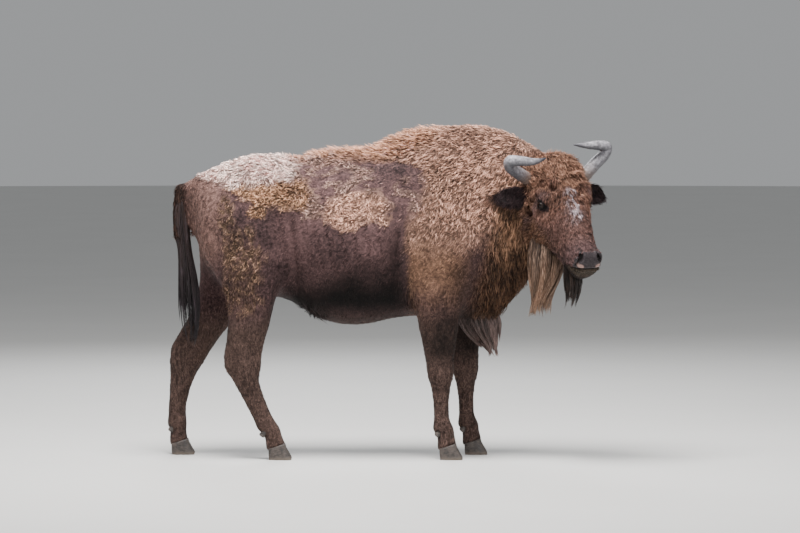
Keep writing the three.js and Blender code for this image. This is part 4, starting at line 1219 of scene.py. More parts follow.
def hair_sizes(m, places, chance):
    """Length, thickness, lift, curl and clump of the tuft at each place, from the masks `m`."""
    flank_tail = np.exp(-(((places[:, 0] + 0.40) / 0.06) ** 2) - ((places[:, 2] - 0.71) / 0.05) ** 2)
    elbow = np.exp(-(((places[:, 0] - 0.09) / 0.045) ** 2) - ((places[:, 2] - 0.83) / 0.07) ** 2)
    along = in_head(places)
    length = blend_all(SLEEK_LENGTH, [
        (m["wool"], 0.032), (m["hump"], 0.036), (m["shoulder"] * (1 - m["hump"]), 0.024),
        (m["mane"], 0.090), (m["mats"], 0.038), (m["ochre"], 0.036), (m["ribs"], 0.028), (m["lace"], 0.024),
        (m["lines"], 0.026), (m["ridge"], 0.050), (m["limb"], 0.020), (m["tail"], 0.045),
        (flank_tail, 0.095), (elbow, 0.070), (m["head"], 0.027), (m["forelock"], 0.038),
        (m["throat"], 0.050), (m["crown"], 0.050), (m["ear"], 0.030), (m["chin"], 0.016), (m["bare"], 0.005),
    ])
    muzzle = step(along[:, 0], 0.40, 0.54) * m["head"]
    length = length * (1 - 0.45 * muzzle) * (1 - 0.45 * step(places[:, 2], 0.35, 0.15) * m["limb"])
    length = length * (0.78 + 0.44 * m["lump"]) * (1 - 0.60 * m["eye_ring"]) * (1 - 0.35 * m["brow"])
    thick = blend_all(SLEEK_THICK, [
        (m["wool"], 0.0024), (m["mane"], 0.0026), (m["mats"], 0.0030), (m["ribs"], 0.0028),
        (m["lines"], 0.0028), (m["limb"], 0.0015), (m["head"], 0.0016), (m["crown"], 0.0013),
        (m["ear"], 0.0013), (m["tail"], 0.0026),
    ])
    lift = blend_all(SLEEK_LIFT, [
        (m["wool"], 0.40), (m["mane"], 0.16), (m["mats"], 0.36), (m["ribs"], 0.50), (m["ochre"], 0.55),
        (m["lace"], 0.30), (m["thigh"], 0.60), (m["lines"], 0.75), (m["ridge"], 0.80), (m["limb"], 0.20),
        (m["head"], 0.26), (m["crown"], 0.46), (m["tail"], 0.18), (m["ear"], 0.30),
    ])
    curl = blend_all(SLEEK_CURL, [
        (m["wool"], 0.80), (m["hump"], 0.60), (m["mane"], 0.34), (m["mats"], 0.95), (m["ribs"], 0.90),
        (m["ochre"], 0.95), (m["thigh"], 1.20), (m["lines"], 1.30), (m["ridge"], 0.50), (m["limb"], 0.18),
        (m["head"], 0.30), (m["crown"], 0.50), (m["tail"], 0.15),
    ])
    return {
        "length": length * (0.75 + 0.5 * chance.random(len(places))),
        "thick": thick * (0.8 + 0.4 * chance.random(len(places))),
        "lift": lift * (0.7 + 0.6 * chance.random(len(places))),
        "curl": curl,
        "clump": 0.1 + curl * 0.9,
    }


print("sleek hair:", SLEEK_LENGTH * 1000, "mm long,", SLEEK_THICK * 1000, "mm to the side of its middle")

# %% How close the tufts stand
SLEEK_DENSITY = 11000.0


def hair_density(m, places):
    """Tufts to the square metre at each place, from the masks `m`."""
    density = blend_all(SLEEK_DENSITY, [
        (m["painted_shade"], 8000.0), (m["shoulder"], 17000.0), (m["wool"], 25000.0), (m["mane"], 20000.0),
        (m["mats"], 25000.0), (m["ribs"], 27000.0), (m["ochre"], 27000.0), (m["lace"], 20000.0),
        (m["lines"], 30000.0), (m["limb"], 12000.0), (m["tail"], 22000.0), (m["head"], 44000.0),
        (m["crown"], 60000.0), (m["ear"], 42000.0),
    ])
    density = density * (1 - 0.45 * m["wool"] * (1 - m["lump"]) * (1 - m["head"]))
    inner = step(np.abs(places[:, 1] - MID_Y), 0.10, 0.03) * step(places[:, 2], 1.2, 0.95) * (1 - m["head"])
    return density * (1 - m["bare"]) * (1 - m["lid"]) * (1 - 0.5 * inner)


print("sleek hair:", SLEEK_DENSITY, "tufts to the square metre")

# %% [markdown]
# ## The colour of hide and hair
# One recipe colours both the skin and the tufts, so that neither shows through as a stranger: purple-brown
# where the new hair is sleek, tan where old wool is left, bleached almost white on the rump, ochre on the
# hip, and near-black painted shade under the belly and the other places that lie in shade. Noise of two sizes
# breaks each tone. On a tuft the colour is darker at the root, as painted shade deep in the coat, and
# bleached at the tip, which is what makes wool look deep.

# %% Tones of the coat
TONES = {
    "sleek": (tint(39, 28, 29), tint(109, 83, 82)),
    "buttock": (tint(56, 40, 37), tint(148, 115, 106)),
    # Painted shade: near-black, for the belly and the other shaded places.
    "painted_shade": (tint(4, 3, 3), tint(15, 10, 9)),
    "limb": (tint(41, 31, 28), tint(97, 77, 70)),
    "shoulder": (tint(66, 46, 36), tint(150, 114, 92)),
    "wool": (tint(58, 40, 34), tint(180, 142, 124)),
    "hump": (tint(58, 38, 31), tint(214, 168, 146)),
    "mane": (tint(36, 24, 19), tint(136, 100, 76)),
    "golden": (tint(48, 33, 25), tint(170, 130, 102)),
    "mats": (tint(166, 116, 108), tint(255, 234, 224)),
    "ochre": (tint(58, 38, 28), tint(220, 172, 138)),
    "ribs": (tint(104, 70, 58), tint(244, 194, 170)),
    "thigh": (tint(62, 47, 40), tint(172, 138, 114)),
    "lines": (tint(86, 64, 59), tint(202, 167, 154)),
    "ridge": (tint(72, 44, 33), tint(232, 176, 144)),
    "crown": (tint(50, 34, 28), tint(176, 134, 112)),
    "head": (tint(30, 20, 19), tint(128, 96, 88)),
    # Grey hairs and a painted highlight down the nose bridge.
    "grizzle_and_highlight": (tint(130, 112, 116), tint(236, 222, 228)),
    "brow": (tint(80, 62, 60), tint(136, 108, 104)),
    # Dark hair round the eye, with painted shade of the socket.
    "eye_ring": (tint(20, 14, 15), tint(52, 38, 38)),
    "cheek": (tint(58, 40, 33), tint(150, 112, 90)),
    "chin": (tint(16, 11, 10), tint(50, 37, 32)),
    "snout": (tint(38, 28, 28), tint(100, 76, 74)),
    "forelock": (tint(38, 26, 23), tint(150, 110, 94)),
    "lip": (tint(40, 34, 30), tint(80, 70, 60)),
    "ear": (tint(19, 14, 16), tint(60, 46, 48)),
    "tail": (tint(20, 14, 13), tint(64, 47, 41)),
}
LAYERS = (
    "limb", "buttock", "shoulder", "wool", "hump", "mane", "golden", "ridge", "head", "cheek", "snout",
    "forelock", "brow", "eye_ring", "grizzle_and_highlight", "chin", "lip", "crown", "thigh", "lines", "ribs", "ochre",
    "mats", "tail", "ear",
)
FLECK = tint(160, 126, 119)
LID_BLACK = tint(13, 10, 10)
print(len(TONES), "tones, laid in", len(LAYERS), "layers")


# %% How masks and tones make a colour
def hair_colour(recipe):
    """The coat's colour from its masks. Broad and fine variation say how light each tone is, and lump-sized
    variation adds painted shade where the wool is low.
    """
    broad = recipe.ramp(recipe.noise(0.22, 2), 0.25, 0.75)
    clump = recipe.ramp(recipe.noise(0.015, 3), 0.38, 0.62)
    # Painted shade: where a lump of wool is low, its tone is darker, as the gaps between lumps are shaded.
    lump = recipe.math("MULTIPLY", recipe.attribute("lump"), 0.44)
    uneven = recipe.math("ADD", recipe.math("MULTIPLY", broad, 0.24), recipe.math("MULTIPLY", clump, 0.34))
    slow = recipe.math("MULTIPLY", broad, 0.6)
    colour = recipe.mix(recipe.math("ADD", slow, recipe.math("MULTIPLY", clump, 0.35)), *TONES["sleek"])
    # Painted shade: a near-black tone, laid over the coat where the shade mask is set.
    painted_shade = recipe.mix(clump, *TONES["painted_shade"])
    for name in LAYERS:
        tone = recipe.mix(recipe.math("ADD", uneven, lump), *TONES[name])
        colour = recipe.mix(recipe.attribute(name), colour, tone)
    colour = recipe.mix(recipe.attribute("painted_shade"), colour, painted_shade)
    return recipe.mix(recipe.attribute("lid"), colour, LID_BLACK)


def tuft_colour(recipe):
    """Painted shade at the root, deep in the coat, and bleached at the tip, with whole tufts lighter or
    darker and some pale flecks.
    """
    few = recipe.ramp(recipe.attribute("chance"), 0.84, 0.92)
    bleached = recipe.math("MULTIPLY", few, recipe.attribute("flecks"))
    colour = recipe.mix(bleached, hair_colour(recipe), FLECK)
    # Painted shade: the root is darkened, as the coat is shaded deep down; the tip is bleached.
    along = recipe.ramp(recipe.attribute("tip"), 0.0, 0.9, (0.18, 1.36))
    along = recipe.math("MAXIMUM", along, recipe.math("MULTIPLY", recipe.attribute("mats"), 0.80))
    chance = recipe.ramp(recipe.attribute("chance"), 0.0, 1.0, (0.34, 1.70))
    level = recipe.math("MULTIPLY", along, chance)
    return recipe.mix(1.0, colour, level, "MULTIPLY")


# %% [markdown]
# ## Matt hair, bare leather
# Light scatters inside hair, so a coat is almost matt and only its many edges glint. A hair shader would
# follow that light properly, but each material here is one plain surface. So the gloss stays low all over, and
# depth comes from colour. On the skin, streaks along the lie of the coat stand for hair that is too short to
# be tufts, and the nose and lids turn into damp, cobbled leather.

# %% The tufts' finish
def set_gloss(recipe):
    """Hair is nearly matt: more gloss than this greys the near-black painted shade under the belly."""
    recipe.set("Specular IOR Level", 0.11)
    recipe.set("Sheen Weight", 0.025)
    recipe.set("Sheen Roughness", 0.4)


def tuft_finish():
    recipe = Recipe("tufts_of_hair")
    recipe.set("Base Color", tuft_colour(recipe))
    recipe.set("Roughness", recipe.ramp(recipe.noise(0.01), 0.3, 0.7, (0.62, 0.82)))
    set_gloss(recipe)
    return recipe.material


TUFTS = tuft_finish()
print(TUFTS.name + ":", len(TUFTS.node_tree.nodes), "nodes")

# %% The skin's finish
NOSE_LEATHER = (tint(48, 43, 45), tint(73, 67, 69))
NOSE_PINK = tint(150, 121, 113)


def skin_finish():
    """Short hair as bump and streaks, darkening to bare leather on the nose and lids, with painted shade inside
    the nostrils and along the mouth.
    """
    recipe = Recipe("hide_and_nose")
    lie_way = recipe.node("ShaderNodeAttribute", attribute_name="lie").outputs["Vector"]
    dot = recipe.node("ShaderNodeVectorMath", {0: recipe.place, 1: lie_way}, operation="DOT_PRODUCT")
    back = recipe.node("ShaderNodeVectorMath", {0: lie_way, "Scale": dot.outputs["Value"]}, operation="SCALE")
    most = recipe.node("ShaderNodeVectorMath", {0: back.outputs[0], "Scale": 0.86}, operation="SCALE")
    across = recipe.node("ShaderNodeVectorMath", {0: recipe.place, 1: most.outputs[0]}, operation="SUBTRACT")
    streak = recipe.node("ShaderNodeTexNoise", {"Vector": across.outputs[0], "Scale": 260.0, "Detail": 3.0})
    streak = streak.outputs["Fac"]
    lick = recipe.node("ShaderNodeTexNoise", {"Vector": across.outputs[0], "Scale": 85.0, "Detail": 2.0})
    lick = lick.outputs["Fac"]

    fine = recipe.ramp(streak, 0.3, 0.7, (0.42, 1.20))
    hair = recipe.math("MULTIPLY", fine, recipe.ramp(lick, 0.35, 0.65, (0.56, 1.30)))
    # Painted shade: under the wool, the skin's colour is darkened.
    painted_shade_under_wool = recipe.ramp(recipe.attribute("wool"), 0.0, 1.0, (1.0, 0.4))
    coloured = recipe.mix(1.0, hair_colour(recipe), recipe.math("MULTIPLY", hair, painted_shade_under_wool), "MULTIPLY")
    cobble = recipe.cells(0.0042)
    leather = recipe.mix(recipe.ramp(cobble, 0.1, 0.6), NOSE_LEATHER[1], NOSE_LEATHER[0])
    pink = recipe.math("MULTIPLY", recipe.attribute("pink"), recipe.ramp(recipe.noise(0.020), 0.25, 0.45))
    leather = recipe.mix(pink, leather, NOSE_PINK)
    coloured = recipe.mix(recipe.attribute("bare"), coloured, leather)
    # Painted shade: near-black inside the nostrils and along the mouth.
    coloured = recipe.mix(recipe.attribute("nostril"), coloured, tint(14, 11, 11))
    recipe.set("Base Color", coloured)
    damp = recipe.math("MAXIMUM", recipe.attribute("bare"), recipe.attribute("lid"))
    recipe.set("Roughness", recipe.ramp(damp, 0.0, 1.0, (0.70, 0.36)))
    set_gloss(recipe)
    hairy = recipe.bump(streak, 0.0022, 0.8)
    pebbled = recipe.bump(cobble, 0.0010, 0.6)
    choose = recipe.node("ShaderNodeMix", data_type="VECTOR")
    recipe.feed(choose.inputs["Factor"], recipe.attribute("bare"))
    recipe.feed(choose.inputs[4], hairy)
    recipe.feed(choose.inputs[5], pebbled)
    recipe.set("Normal", choose.outputs[1])
    return recipe.material


# %% What the skin's finish reads
calm = np.zeros(len(points))
lie_on_skin = lie(points, normals, {**marks, "wool": calm, "flank_wool": calm})
layer = skin_mesh.attributes.new("lie", "FLOAT_VECTOR", "POINT")
layer.data.foreach_set("vector", lie_on_skin.astype(np.float32).ravel())
along = in_head(points)
pink_spot = np.hypot((along[:, 1] + 0.045) / 0.010, (np.abs(along[:, 2]) - 0.048) / 0.018)
write_values(skin_mesh, {"pink": step(pink_spot, 1.2, 0.6)})
skin_mesh.materials.clear()
skin_mesh.materials.append(skin_finish())
print(skin_mesh.materials[0].name + ":", len(skin_mesh.materials[0].node_tree.nodes), "nodes")

# %% [markdown]
# ## Laying the coat
# The tufts are sown over the whole skin at once and then sorted into pieces by body part, so that no piece
# grows too heavy to open. Long hair gets more rings per lock, as it has to bend and curl; short hair needs
# only two and a tip.

# %% Body parts of the coat: name, rings in a lock, slot, and which roots belong to it
RUMP, CHEST = -0.46, 0.0  # the rump lies behind the first x, the chest ahead of the second
SHORT = 0.3  # with less wool than this, the hair is short enough for locks of two rings
COAT_PARTS = (
    ("coat_crown", 3, "coat", lambda m, p: m["crown"] > 0.35),
    ("coat_ears", 2, "dark_coat", lambda m, p: m["ear"] > 0.5),
    ("coat_face", 2, "coat", lambda m, p: m["head"] > 0.5),
    ("coat_tail", 3, "coat", lambda m, p: m["tail"] > 0.5),
    ("coat_forelegs", 2, "dark_coat", lambda m, p: (p[:, 2] < 0.80) & (p[:, 0] > 0.08)),
    ("coat_hindlegs", 2, "dark_coat", lambda m, p: (p[:, 2] < 0.84) & (p[:, 0] < -0.55)),
    ("coat_neck", 4, "coat", lambda m, p: m["neck"] > 0.5),
    ("coat_hump_right", 3, "coat", lambda m, p: (p[:, 0] > CHEST) & (p[:, 2] > 1.0) & (p[:, 1] < MID_Y)),
    ("coat_hump_left", 3, "coat", lambda m, p: (p[:, 0] > CHEST) & (p[:, 2] > 1.0)),
    ("coat_chest", 3, "coat", lambda m, p: p[:, 0] > CHEST),
    ("nap_rump_right", 2, "coat", lambda m, p: (p[:, 0] < RUMP) & (p[:, 1] < MID_Y) & (m["wool"] < SHORT)),
    ("nap_rump_left", 2, "coat", lambda m, p: (p[:, 0] < RUMP) & (m["wool"] < SHORT)),
    ("nap_flank_right", 2, "coat", lambda m, p: (p[:, 1] < MID_Y) & (m["wool"] < SHORT)),
    ("nap_flank_left", 2, "coat", lambda m, p: m["wool"] < SHORT),
    ("coat_rump_right", 3, "coat", lambda m, p: (p[:, 0] < RUMP) & (p[:, 1] < MID_Y)),
    ("coat_rump_left", 3, "coat", lambda m, p: p[:, 0] < RUMP),
    ("coat_flank_right", 3, "coat", lambda m, p: p[:, 1] < MID_Y),
    ("coat_flank_left", 3, "coat", lambda m, p: p[:, 1] >= MID_Y),
)
print(len(COAT_PARTS), "parts of the coat")


def tips(rings, count):
    """How far up its lock each point is, 0 at the root and 1 at the tip, for so many locks."""
    return np.tile(np.append(np.repeat(np.arange(rings) / rings, 3), 1.0), count)


# %% Sowing
SEED = 2311
MOST_TRIANGLES = 200000
chance = np.random.default_rng(SEED)
ground_marks = markings(ground.middles)
root, root_normal, root_spot, pick = ground.sown(hair_density(ground_marks, ground.middles), chance)
root_marks = markings(root)
root_way = lie(root, root_normal, root_marks)
root_bend = ground.curvature(pick, root_way)
sizes = hair_sizes(root_marks, root, chance)
root_chance = chance.random(len(root))
taken = np.zeros(len(root), bool)
coat_total = 0
for name, rings, slot, belongs in COAT_PARTS:
    chosen = belongs(root_marks, root) & ~taken
    taken |= chosen
    here = {key: values[chosen] for key, values in sizes.items()}
    parts = (root[chosen], root_normal[chosen], root_way[chosen], root_spot[chosen], root_bend[chosen])
    places, faces, maps = lock_mesh(name, *parts, here, rings, chance)
    mesh = mesh_from(name, places, faces, maps)
    per_root = {**shared(root_marks), "chance": root_chance}
    write_values(mesh, {key: np.repeat(values[chosen], rings * 3 + 1) for key, values in per_root.items()})
    write_values(mesh, {"tip": tips(rings, int(chosen.sum()))})
    mesh.materials.append(TUFTS)
    add_piece(name, mesh)
    coat_total += len(faces)
    warning = "" if len(faces) < MOST_TRIANGLES else "TOO MANY"
    print(name, int(chosen.sum()), "tufts,", len(faces), "triangles", warning)
print("coat:", coat_total, "triangles")

# %% [markdown]
# ## Hair that hangs free
# The beards, the fringe under the chest and the tail's switch are too long to lie on the skin: they hang as
# one mass that splits into points. Each is a bundle of long locks that share a path. A lock keeps its own
# place in the bundle's cross-section, is drawn towards its clump on the way down, and ends at its own level,
# so that the bundle is full above and ragged below. Curve hair would give the same lie, but not solid mesh.

# %% Where the bundles hang: x, y, z, reach fore and aft, half-width, and heading in degrees
CHIN_BEARD = (
    (0.899, -0.234, 1.010, 0.030, 0.036, -66),
    (0.908, -0.247, 0.925, 0.050, 0.052, -66),
    (0.910, -0.254, 0.860, 0.052, 0.056, -66),
    (0.902, -0.250, 0.805, 0.044, 0.050, -66),
    (0.889, -0.242, 0.752, 0.030, 0.034, -66),
)
THROAT_BEARD = (
    (0.800, -0.036, 1.170, 0.090, 0.066, -50),
    (0.790, -0.060, 1.030, 0.122, 0.078, -50),
    (0.776, -0.070, 0.930, 0.112, 0.072, -50),
    (0.760, -0.068, 0.830, 0.088, 0.062, -50),
    (0.754, -0.062, 0.760, 0.062, 0.048, -50),
    (0.750, -0.058, 0.706, 0.040, 0.032, -50),
)
BRISKET_FRINGE = (
    (0.430, 0.134, 0.770, 0.100, 0.070, 0),
    (0.456, 0.132, 0.680, 0.114, 0.080, 0),
    (0.472, 0.130, 0.620, 0.094, 0.064, 0),
    (0.499, 0.128, 0.565, 0.072, 0.046, 0),
    (0.516, 0.128, 0.525, 0.052, 0.032, 0),
    (0.522, 0.128, 0.496, 0.036, 0.022, 0),
)
TAIL_SWITCH = (
    (-1.026, MID_Y, 1.325, 0.024, 0.020, 0),
    (-1.032, MID_Y, 1.275, 0.039, 0.032, 0),
    (-1.035, MID_Y, 1.215, 0.043, 0.036, 0),
    (-1.032, MID_Y, 1.130, 0.043, 0.036, 0),
    (-1.018, MID_Y, 1.045, 0.042, 0.032, 0),
    (-1.004, MID_Y, 0.950, 0.051, 0.038, 0),
    (-0.996, MID_Y, 0.850, 0.058, 0.042, 0),
    (-0.993, MID_Y, 0.750, 0.058, 0.042, 0),
    (-0.998, MID_Y, 0.645, 0.050, 0.036, 0),
    (-0.996, MID_Y, 0.570, 0.040, 0.028, 0),
    (-0.984, MID_Y, 0.512, 0.022, 0.016, 0),
)
print("the throat's beard hangs", round(THROAT_BEARD[0][2] - THROAT_BEARD[-1][2], 3), "m down")

# %% The path of a bundle
FINE_STEPS = 60
BLUR = 4  # steps to each side over which the corners of a bundle's path are rounded


def stations_at(stations, share):
    """The bundle's middle, reach, half-width and heading at a share of its length, for each lock."""
    knots = np.linspace(0, 1, len(stations))
    fine = np.linspace(0, 1, FINE_STEPS)
    window = np.full(2 * BLUR + 1, 1 / (2 * BLUR + 1))
    sizes = []
    for column in np.array(stations, float).T:
        padded = np.pad(np.interp(fine, knots, column), BLUR, mode="reflect", reflect_type="odd")
        sizes.append(np.interp(share, fine, np.convolve(padded, window, "valid")))
    return sizes


halfway = [round(float(value), 3) for value in stations_at(THROAT_BEARD, 0.5)]
print("halfway down the throat's beard:", halfway)

# %% A bundle of locks
LOCKS_TO_A_CLUMP = 20


def bundle(name, stations, count, rings, thick, slot, replaced, look, seed):
    """One hanging piece. Its locks start evenly over the top and are drawn together, clump by clump."""
    chance = np.random.default_rng(seed)
    angle = chance.random(count) * 2 * math.pi
    radius = chance.random(count) ** 0.38
    u, v = radius * np.cos(angle), radius * np.sin(angle)
    clumps = count // LOCKS_TO_A_CLUMP
    chance.integers(0, clumps, count)  # not used: it only keeps the order of the draws that follow
    clump_angle = chance.random(clumps) * 2 * math.pi
    clump_radius = np.sqrt(chance.random(clumps)) * 0.95
    clump_u, clump_v = clump_radius * np.cos(clump_angle), clump_radius * np.sin(clump_angle)
    clump = np.hypot(u[:, None] - clump_u, v[:, None] - clump_v).argmin(1)
    end_of_clump = look["shortest"] + (1 - look["shortest"]) * chance.random(clumps) ** 0.8
    end = np.clip(end_of_clump[clump] - 0.30 * chance.random(count) ** 2, 0.2, 1.0)
    phase = clump_angle[clump] + chance.random(count) * 0.8
    sized = thick * (0.7 + 0.6 * chance.random(count))
    centres = []
    for ring in range(rings + 1):
        share = ring / rings * end
        x, y, z, reach, half, heading = stations_at(stations, share)
        drawn = look["drawn"] * share**1.5
        across = u * (1 - drawn) + clump_u[clump] * drawn
        aside = v * (1 - drawn) + clump_v[clump] * drawn
        sway = look["wave"] * share * np.sin(phase + share * look["turns"] * 2 * math.pi)
        across = across * (reach - thick) + sway
        aside = aside * (half - thick) + sway * 0.7 * np.cos(phase * 3)
        turn = np.radians(heading)
        centres.append(np.stack([
            x + across * np.cos(turn) - aside * np.sin(turn),
            y + across * np.sin(turn) + aside * np.cos(turn),
            z,
        ], 1))
    places = np.zeros((count, rings * 3 + 1, 3))
    for ring in range(rings):
        heading = unit(centres[ring + 1] - centres[max(ring - 1, 0)])
        across = unit(np.cross(heading, array(0.3, 1, 0.2)))
        over = np.cross(heading, across)
        taper = (1 - (ring / rings) ** 1.5 * 0.78) * sized
        for corner, angle in enumerate(CORNER_ANGLES):
            offset = across * math.cos(angle) + over * math.sin(angle)
            places[:, ring * 3 + corner] = centres[ring] + offset * taper[:, None]
    places[:, -1] = centres[rings]
    spots = ground.nearest_spots(centres[0])
    mesh = mesh_from(name, places, lock_faces(count, rings), lock_map(spots, rings))
    each = rings * 3 + 1
    write_values(mesh, {
        "tip": tips(rings, count) * np.repeat(end, each),
        "chance": np.repeat(chance.random(count) * 0.6 + (clump % 5) * 0.1, each),
    })
    mesh.materials.append(strand_finish(name + "_hair", *look["tones"]))
    print(name, count, "locks,", len(mesh.polygons), "triangles")
    return add_piece(name, mesh, replaced)


# %% [markdown]
# ## The finish of long hair
# A beard is dark where it leaves the skin and paler where sun and weather reach it, and the tail's switch
# goes the other way, to near-black at its end. So the tone follows how far down the bundle a point is, which
# is kept on every point as a number. A painted texture wrapped round each lock would also do, but then every
# bundle would need one of its own.

# %% The finish of long strands
def strand_finish(name, root_tone, tip_tone, streak_tone):
    """From one tone to another down the bundle, with locks lighter or darker and fine streaks along them."""
    recipe = Recipe(name)
    along = recipe.ramp(recipe.attribute("tip"), 0.05, 0.95)
    colour = recipe.mix(along, root_tone, tip_tone)
    streak = recipe.ramp(recipe.noise(0.006, 3, (1.0, 1.0, 0.12)), 0.42, 0.66)
    colour = recipe.mix(recipe.math("MULTIPLY", streak, 0.55), colour, streak_tone)
    level = recipe.ramp(recipe.attribute("chance"), 0.0, 1.0, (0.35, 1.60))
    recipe.set("Base Color", recipe.mix(1.0, colour, level, "MULTIPLY"))
    recipe.set("Roughness", recipe.ramp(streak, 0.0, 1.0, (0.50, 0.68)))
    recipe.set("Specular IOR Level", 0.4)
    recipe.set("Normal", recipe.bump(streak, 0.001, 0.5))
    return recipe.material


# %% The four bundles
BUNDLES = {
    "beard_of_chin": dict(
        stations=CHIN_BEARD, count=560, rings=7, thick=0.0024, seed=71,
        slot="dark_hair", replaced=["chin_beard"],
        look=dict(
            shortest=0.30, drawn=0.70, wave=0.010, turns=0.9,
            tones=(tint(22, 17, 16), tint(44, 33, 29), tint(74, 56, 46)),
        ),
    ),
    "beard_of_throat": dict(
        stations=THROAT_BEARD, count=2000, rings=8, thick=0.0021, seed=72,
        slot="long_hair", replaced=["throat_beard"],
        look=dict(
            shortest=0.20, drawn=0.66, wave=0.030, turns=1.0,
            tones=(tint(56, 40, 32), tint(138, 106, 84), tint(176, 148, 128)),
        ),
    ),
    "fringe_of_brisket": dict(
        stations=BRISKET_FRINGE, count=1000, rings=8, thick=0.0026, seed=73,
        slot="long_hair", replaced=["brisket_fringe"],
        look=dict(
            shortest=0.25, drawn=0.72, wave=0.013, turns=0.9,
            tones=(tint(52, 40, 38), tint(116, 94, 88), tint(150, 128, 122)),
        ),
    ),
    "switch_of_tail": dict(
        stations=TAIL_SWITCH, count=700, rings=10, thick=0.0030, seed=74,
        slot="dark_hair", replaced=["tail_switch"],
        look=dict(
            shortest=0.55, drawn=0.55, wave=0.012, turns=1.6,
            tones=(tint(44, 31, 27), tint(22, 18, 22), tint(58, 48, 54)),
        ),
    ),
}
for name, spec in BUNDLES.items():
    bundle(name, **spec)

# %% [markdown]
# ## Horns
# A wisent's horns leave the sides of the head, sweep forward and out, and hook in again with their tips over
# the brow. Horn grows from its base in rings, so the lower part is ridged and brownish, and the rest is worn
# smooth and grey. Each is a tube swept along a smooth curve through a few points of the head's coordinates,
# which a curve object with a bevel could also give, but rings and dents are easier on a mesh of its own.

# %% Curves and sizes of the horns
HORN_CURVES = {
    "right": (
        (0.068, -0.110, -0.116), (0.056, -0.084, -0.160), (0.048, -0.042, -0.220), (0.042, -0.004, -0.266),
        (0.036, 0.030, -0.274), (0.050, 0.050, -0.232), (0.062, 0.056, -0.178), (0.060, 0.060, -0.136),
        (0.050, 0.066, -0.098),
    ),
    "left": (
        (0.068, -0.110, 0.116), (0.056, -0.084, 0.160), (0.016, -0.042, 0.218), (-0.012, -0.008, 0.262),
        (-0.034, 0.022, 0.272), (-0.038, 0.036, 0.228), (-0.042, 0.034, 0.170), (-0.052, 0.030, 0.094),
    ),
}
HORN = {"base": 0.0335, "tip": 0.0025, "taper": 0.24, "fullness": 5, "sunk": 0.012}
HORN_STEPS, HORN_CORNERS = 90, 32
HORN_RINGS = {"count": 26, "depth": 0.0016}
print("knots of each horn's curve:", {name: len(knots) for name, knots in HORN_CURVES.items()})


# %% A smooth curve through knots
def centripetal(knots, steps):
    """Evenly spaced points of a smooth curve through the knots."""
    ends = [2 * knots[0] - knots[1], *knots, 2 * knots[-1] - knots[-2]]
    dense = []
    for a, b, c, d in zip(ends, ends[1:], ends[2:], ends[3:]):
        ta = 0.0
        tb = ta + np.linalg.norm(b - a) ** 0.5
        tc = tb + np.linalg.norm(c - b) ** 0.5
        td = tc + np.linalg.norm(d - c) ** 0.5
        for t in np.linspace(tb, tc, 24, endpoint=False):
            ab = a + (b - a) * (t - ta) / (tb - ta)
            bc = b + (c - b) * (t - tb) / (tc - tb)
            cd = c + (d - c) * (t - tc) / (td - tc)
            abc = ab + (bc - ab) * (t - ta) / (tc - ta)
            bcd = bc + (cd - bc) * (t - tb) / (td - tb)
            dense.append(abc + (bcd - abc) * (t - tb) / (tc - tb))
    dense = np.array(dense + [knots[-1]])
    length = np.append(0, np.cumsum(np.linalg.norm(np.diff(dense, axis=0), axis=1)))
    wanted = np.linspace(0, length[-1], steps + 1)
    return np.stack([np.interp(wanted, length, dense[:, axis]) for axis in range(3)], 1)


def length_of(path):
    return round(float(np.linalg.norm(np.diff(path, axis=0), axis=1).sum()), 3)


for name, knots in HORN_CURVES.items():
    print("horn", name, length_of(centripetal([from_head(knot) for knot in knots], HORN_STEPS)), "m long")


# %% A horn's mesh
def horn_mesh(name):
    """A tube round the curve, ridged near its base and closed at both ends."""
    path = centripetal([from_head(knot) for knot in HORN_CURVES[name]], HORN_STEPS)
    share = np.linspace(0, 1, len(path))
    tangent = unit(np.gradient(path, axis=0))
    path[0] -= tangent[0] * HORN["sunk"]
    side = unit(np.cross(tangent, down))
    top = np.cross(side, tangent)
    slimmed = (HORN["base"] - HORN["tip"]) * (1 - HORN["taper"] * share)
    radius = HORN["tip"] + slimmed * (1 - share ** HORN["fullness"])
    rings = 0.5 + 0.5 * np.cos(share * 2 * math.pi * HORN_RINGS["count"] + 3 * drift(path, 0.05, 81))
    radius = radius - HORN_RINGS["depth"] * rings * step(share, 0.42, 0.12)
    turn = np.linspace(0, 2 * math.pi, HORN_CORNERS, endpoint=False)
    off = side[:, None] * np.cos(turn)[None, :, None] + top[:, None] * np.sin(turn)[None, :, None]
    places = path[:, None] + off * radius[:, None, None]
    dented = drift(places.reshape(-1, 3), 0.014, 82).reshape(places.shape[:2]) * 0.0006
    places = places + off * (dented * step(share, 1.0, 0.9)[:, None])[:, :, None]
    form = bmesh.new()
    rows = [[form.verts.new(point) for point in row] for row in places]
    for lower, upper in zip(rows, rows[1:]):
        for i in range(HORN_CORNERS):
            j = (i + 1) % HORN_CORNERS
            form.faces.new((lower[i], lower[j], upper[j], upper[i]))
    form.faces.new(rows[0][::-1])
    form.faces.new(rows[-1])
    bmesh.ops.recalc_face_normals(form, faces=form.faces)
    mesh = bpy.data.meshes.new("horn_" + name)
    form.to_mesh(mesh)
    form.free()
    # How much each point faces up, which the finish reads to paint shade on the underside.
    upper_side = (off @ UP).ravel() * 0.5 + 0.5
    write_values(mesh, {"up_horn": np.repeat(share, HORN_CORNERS), "upper_side": upper_side})
    shade_smooth(mesh)
    return mesh
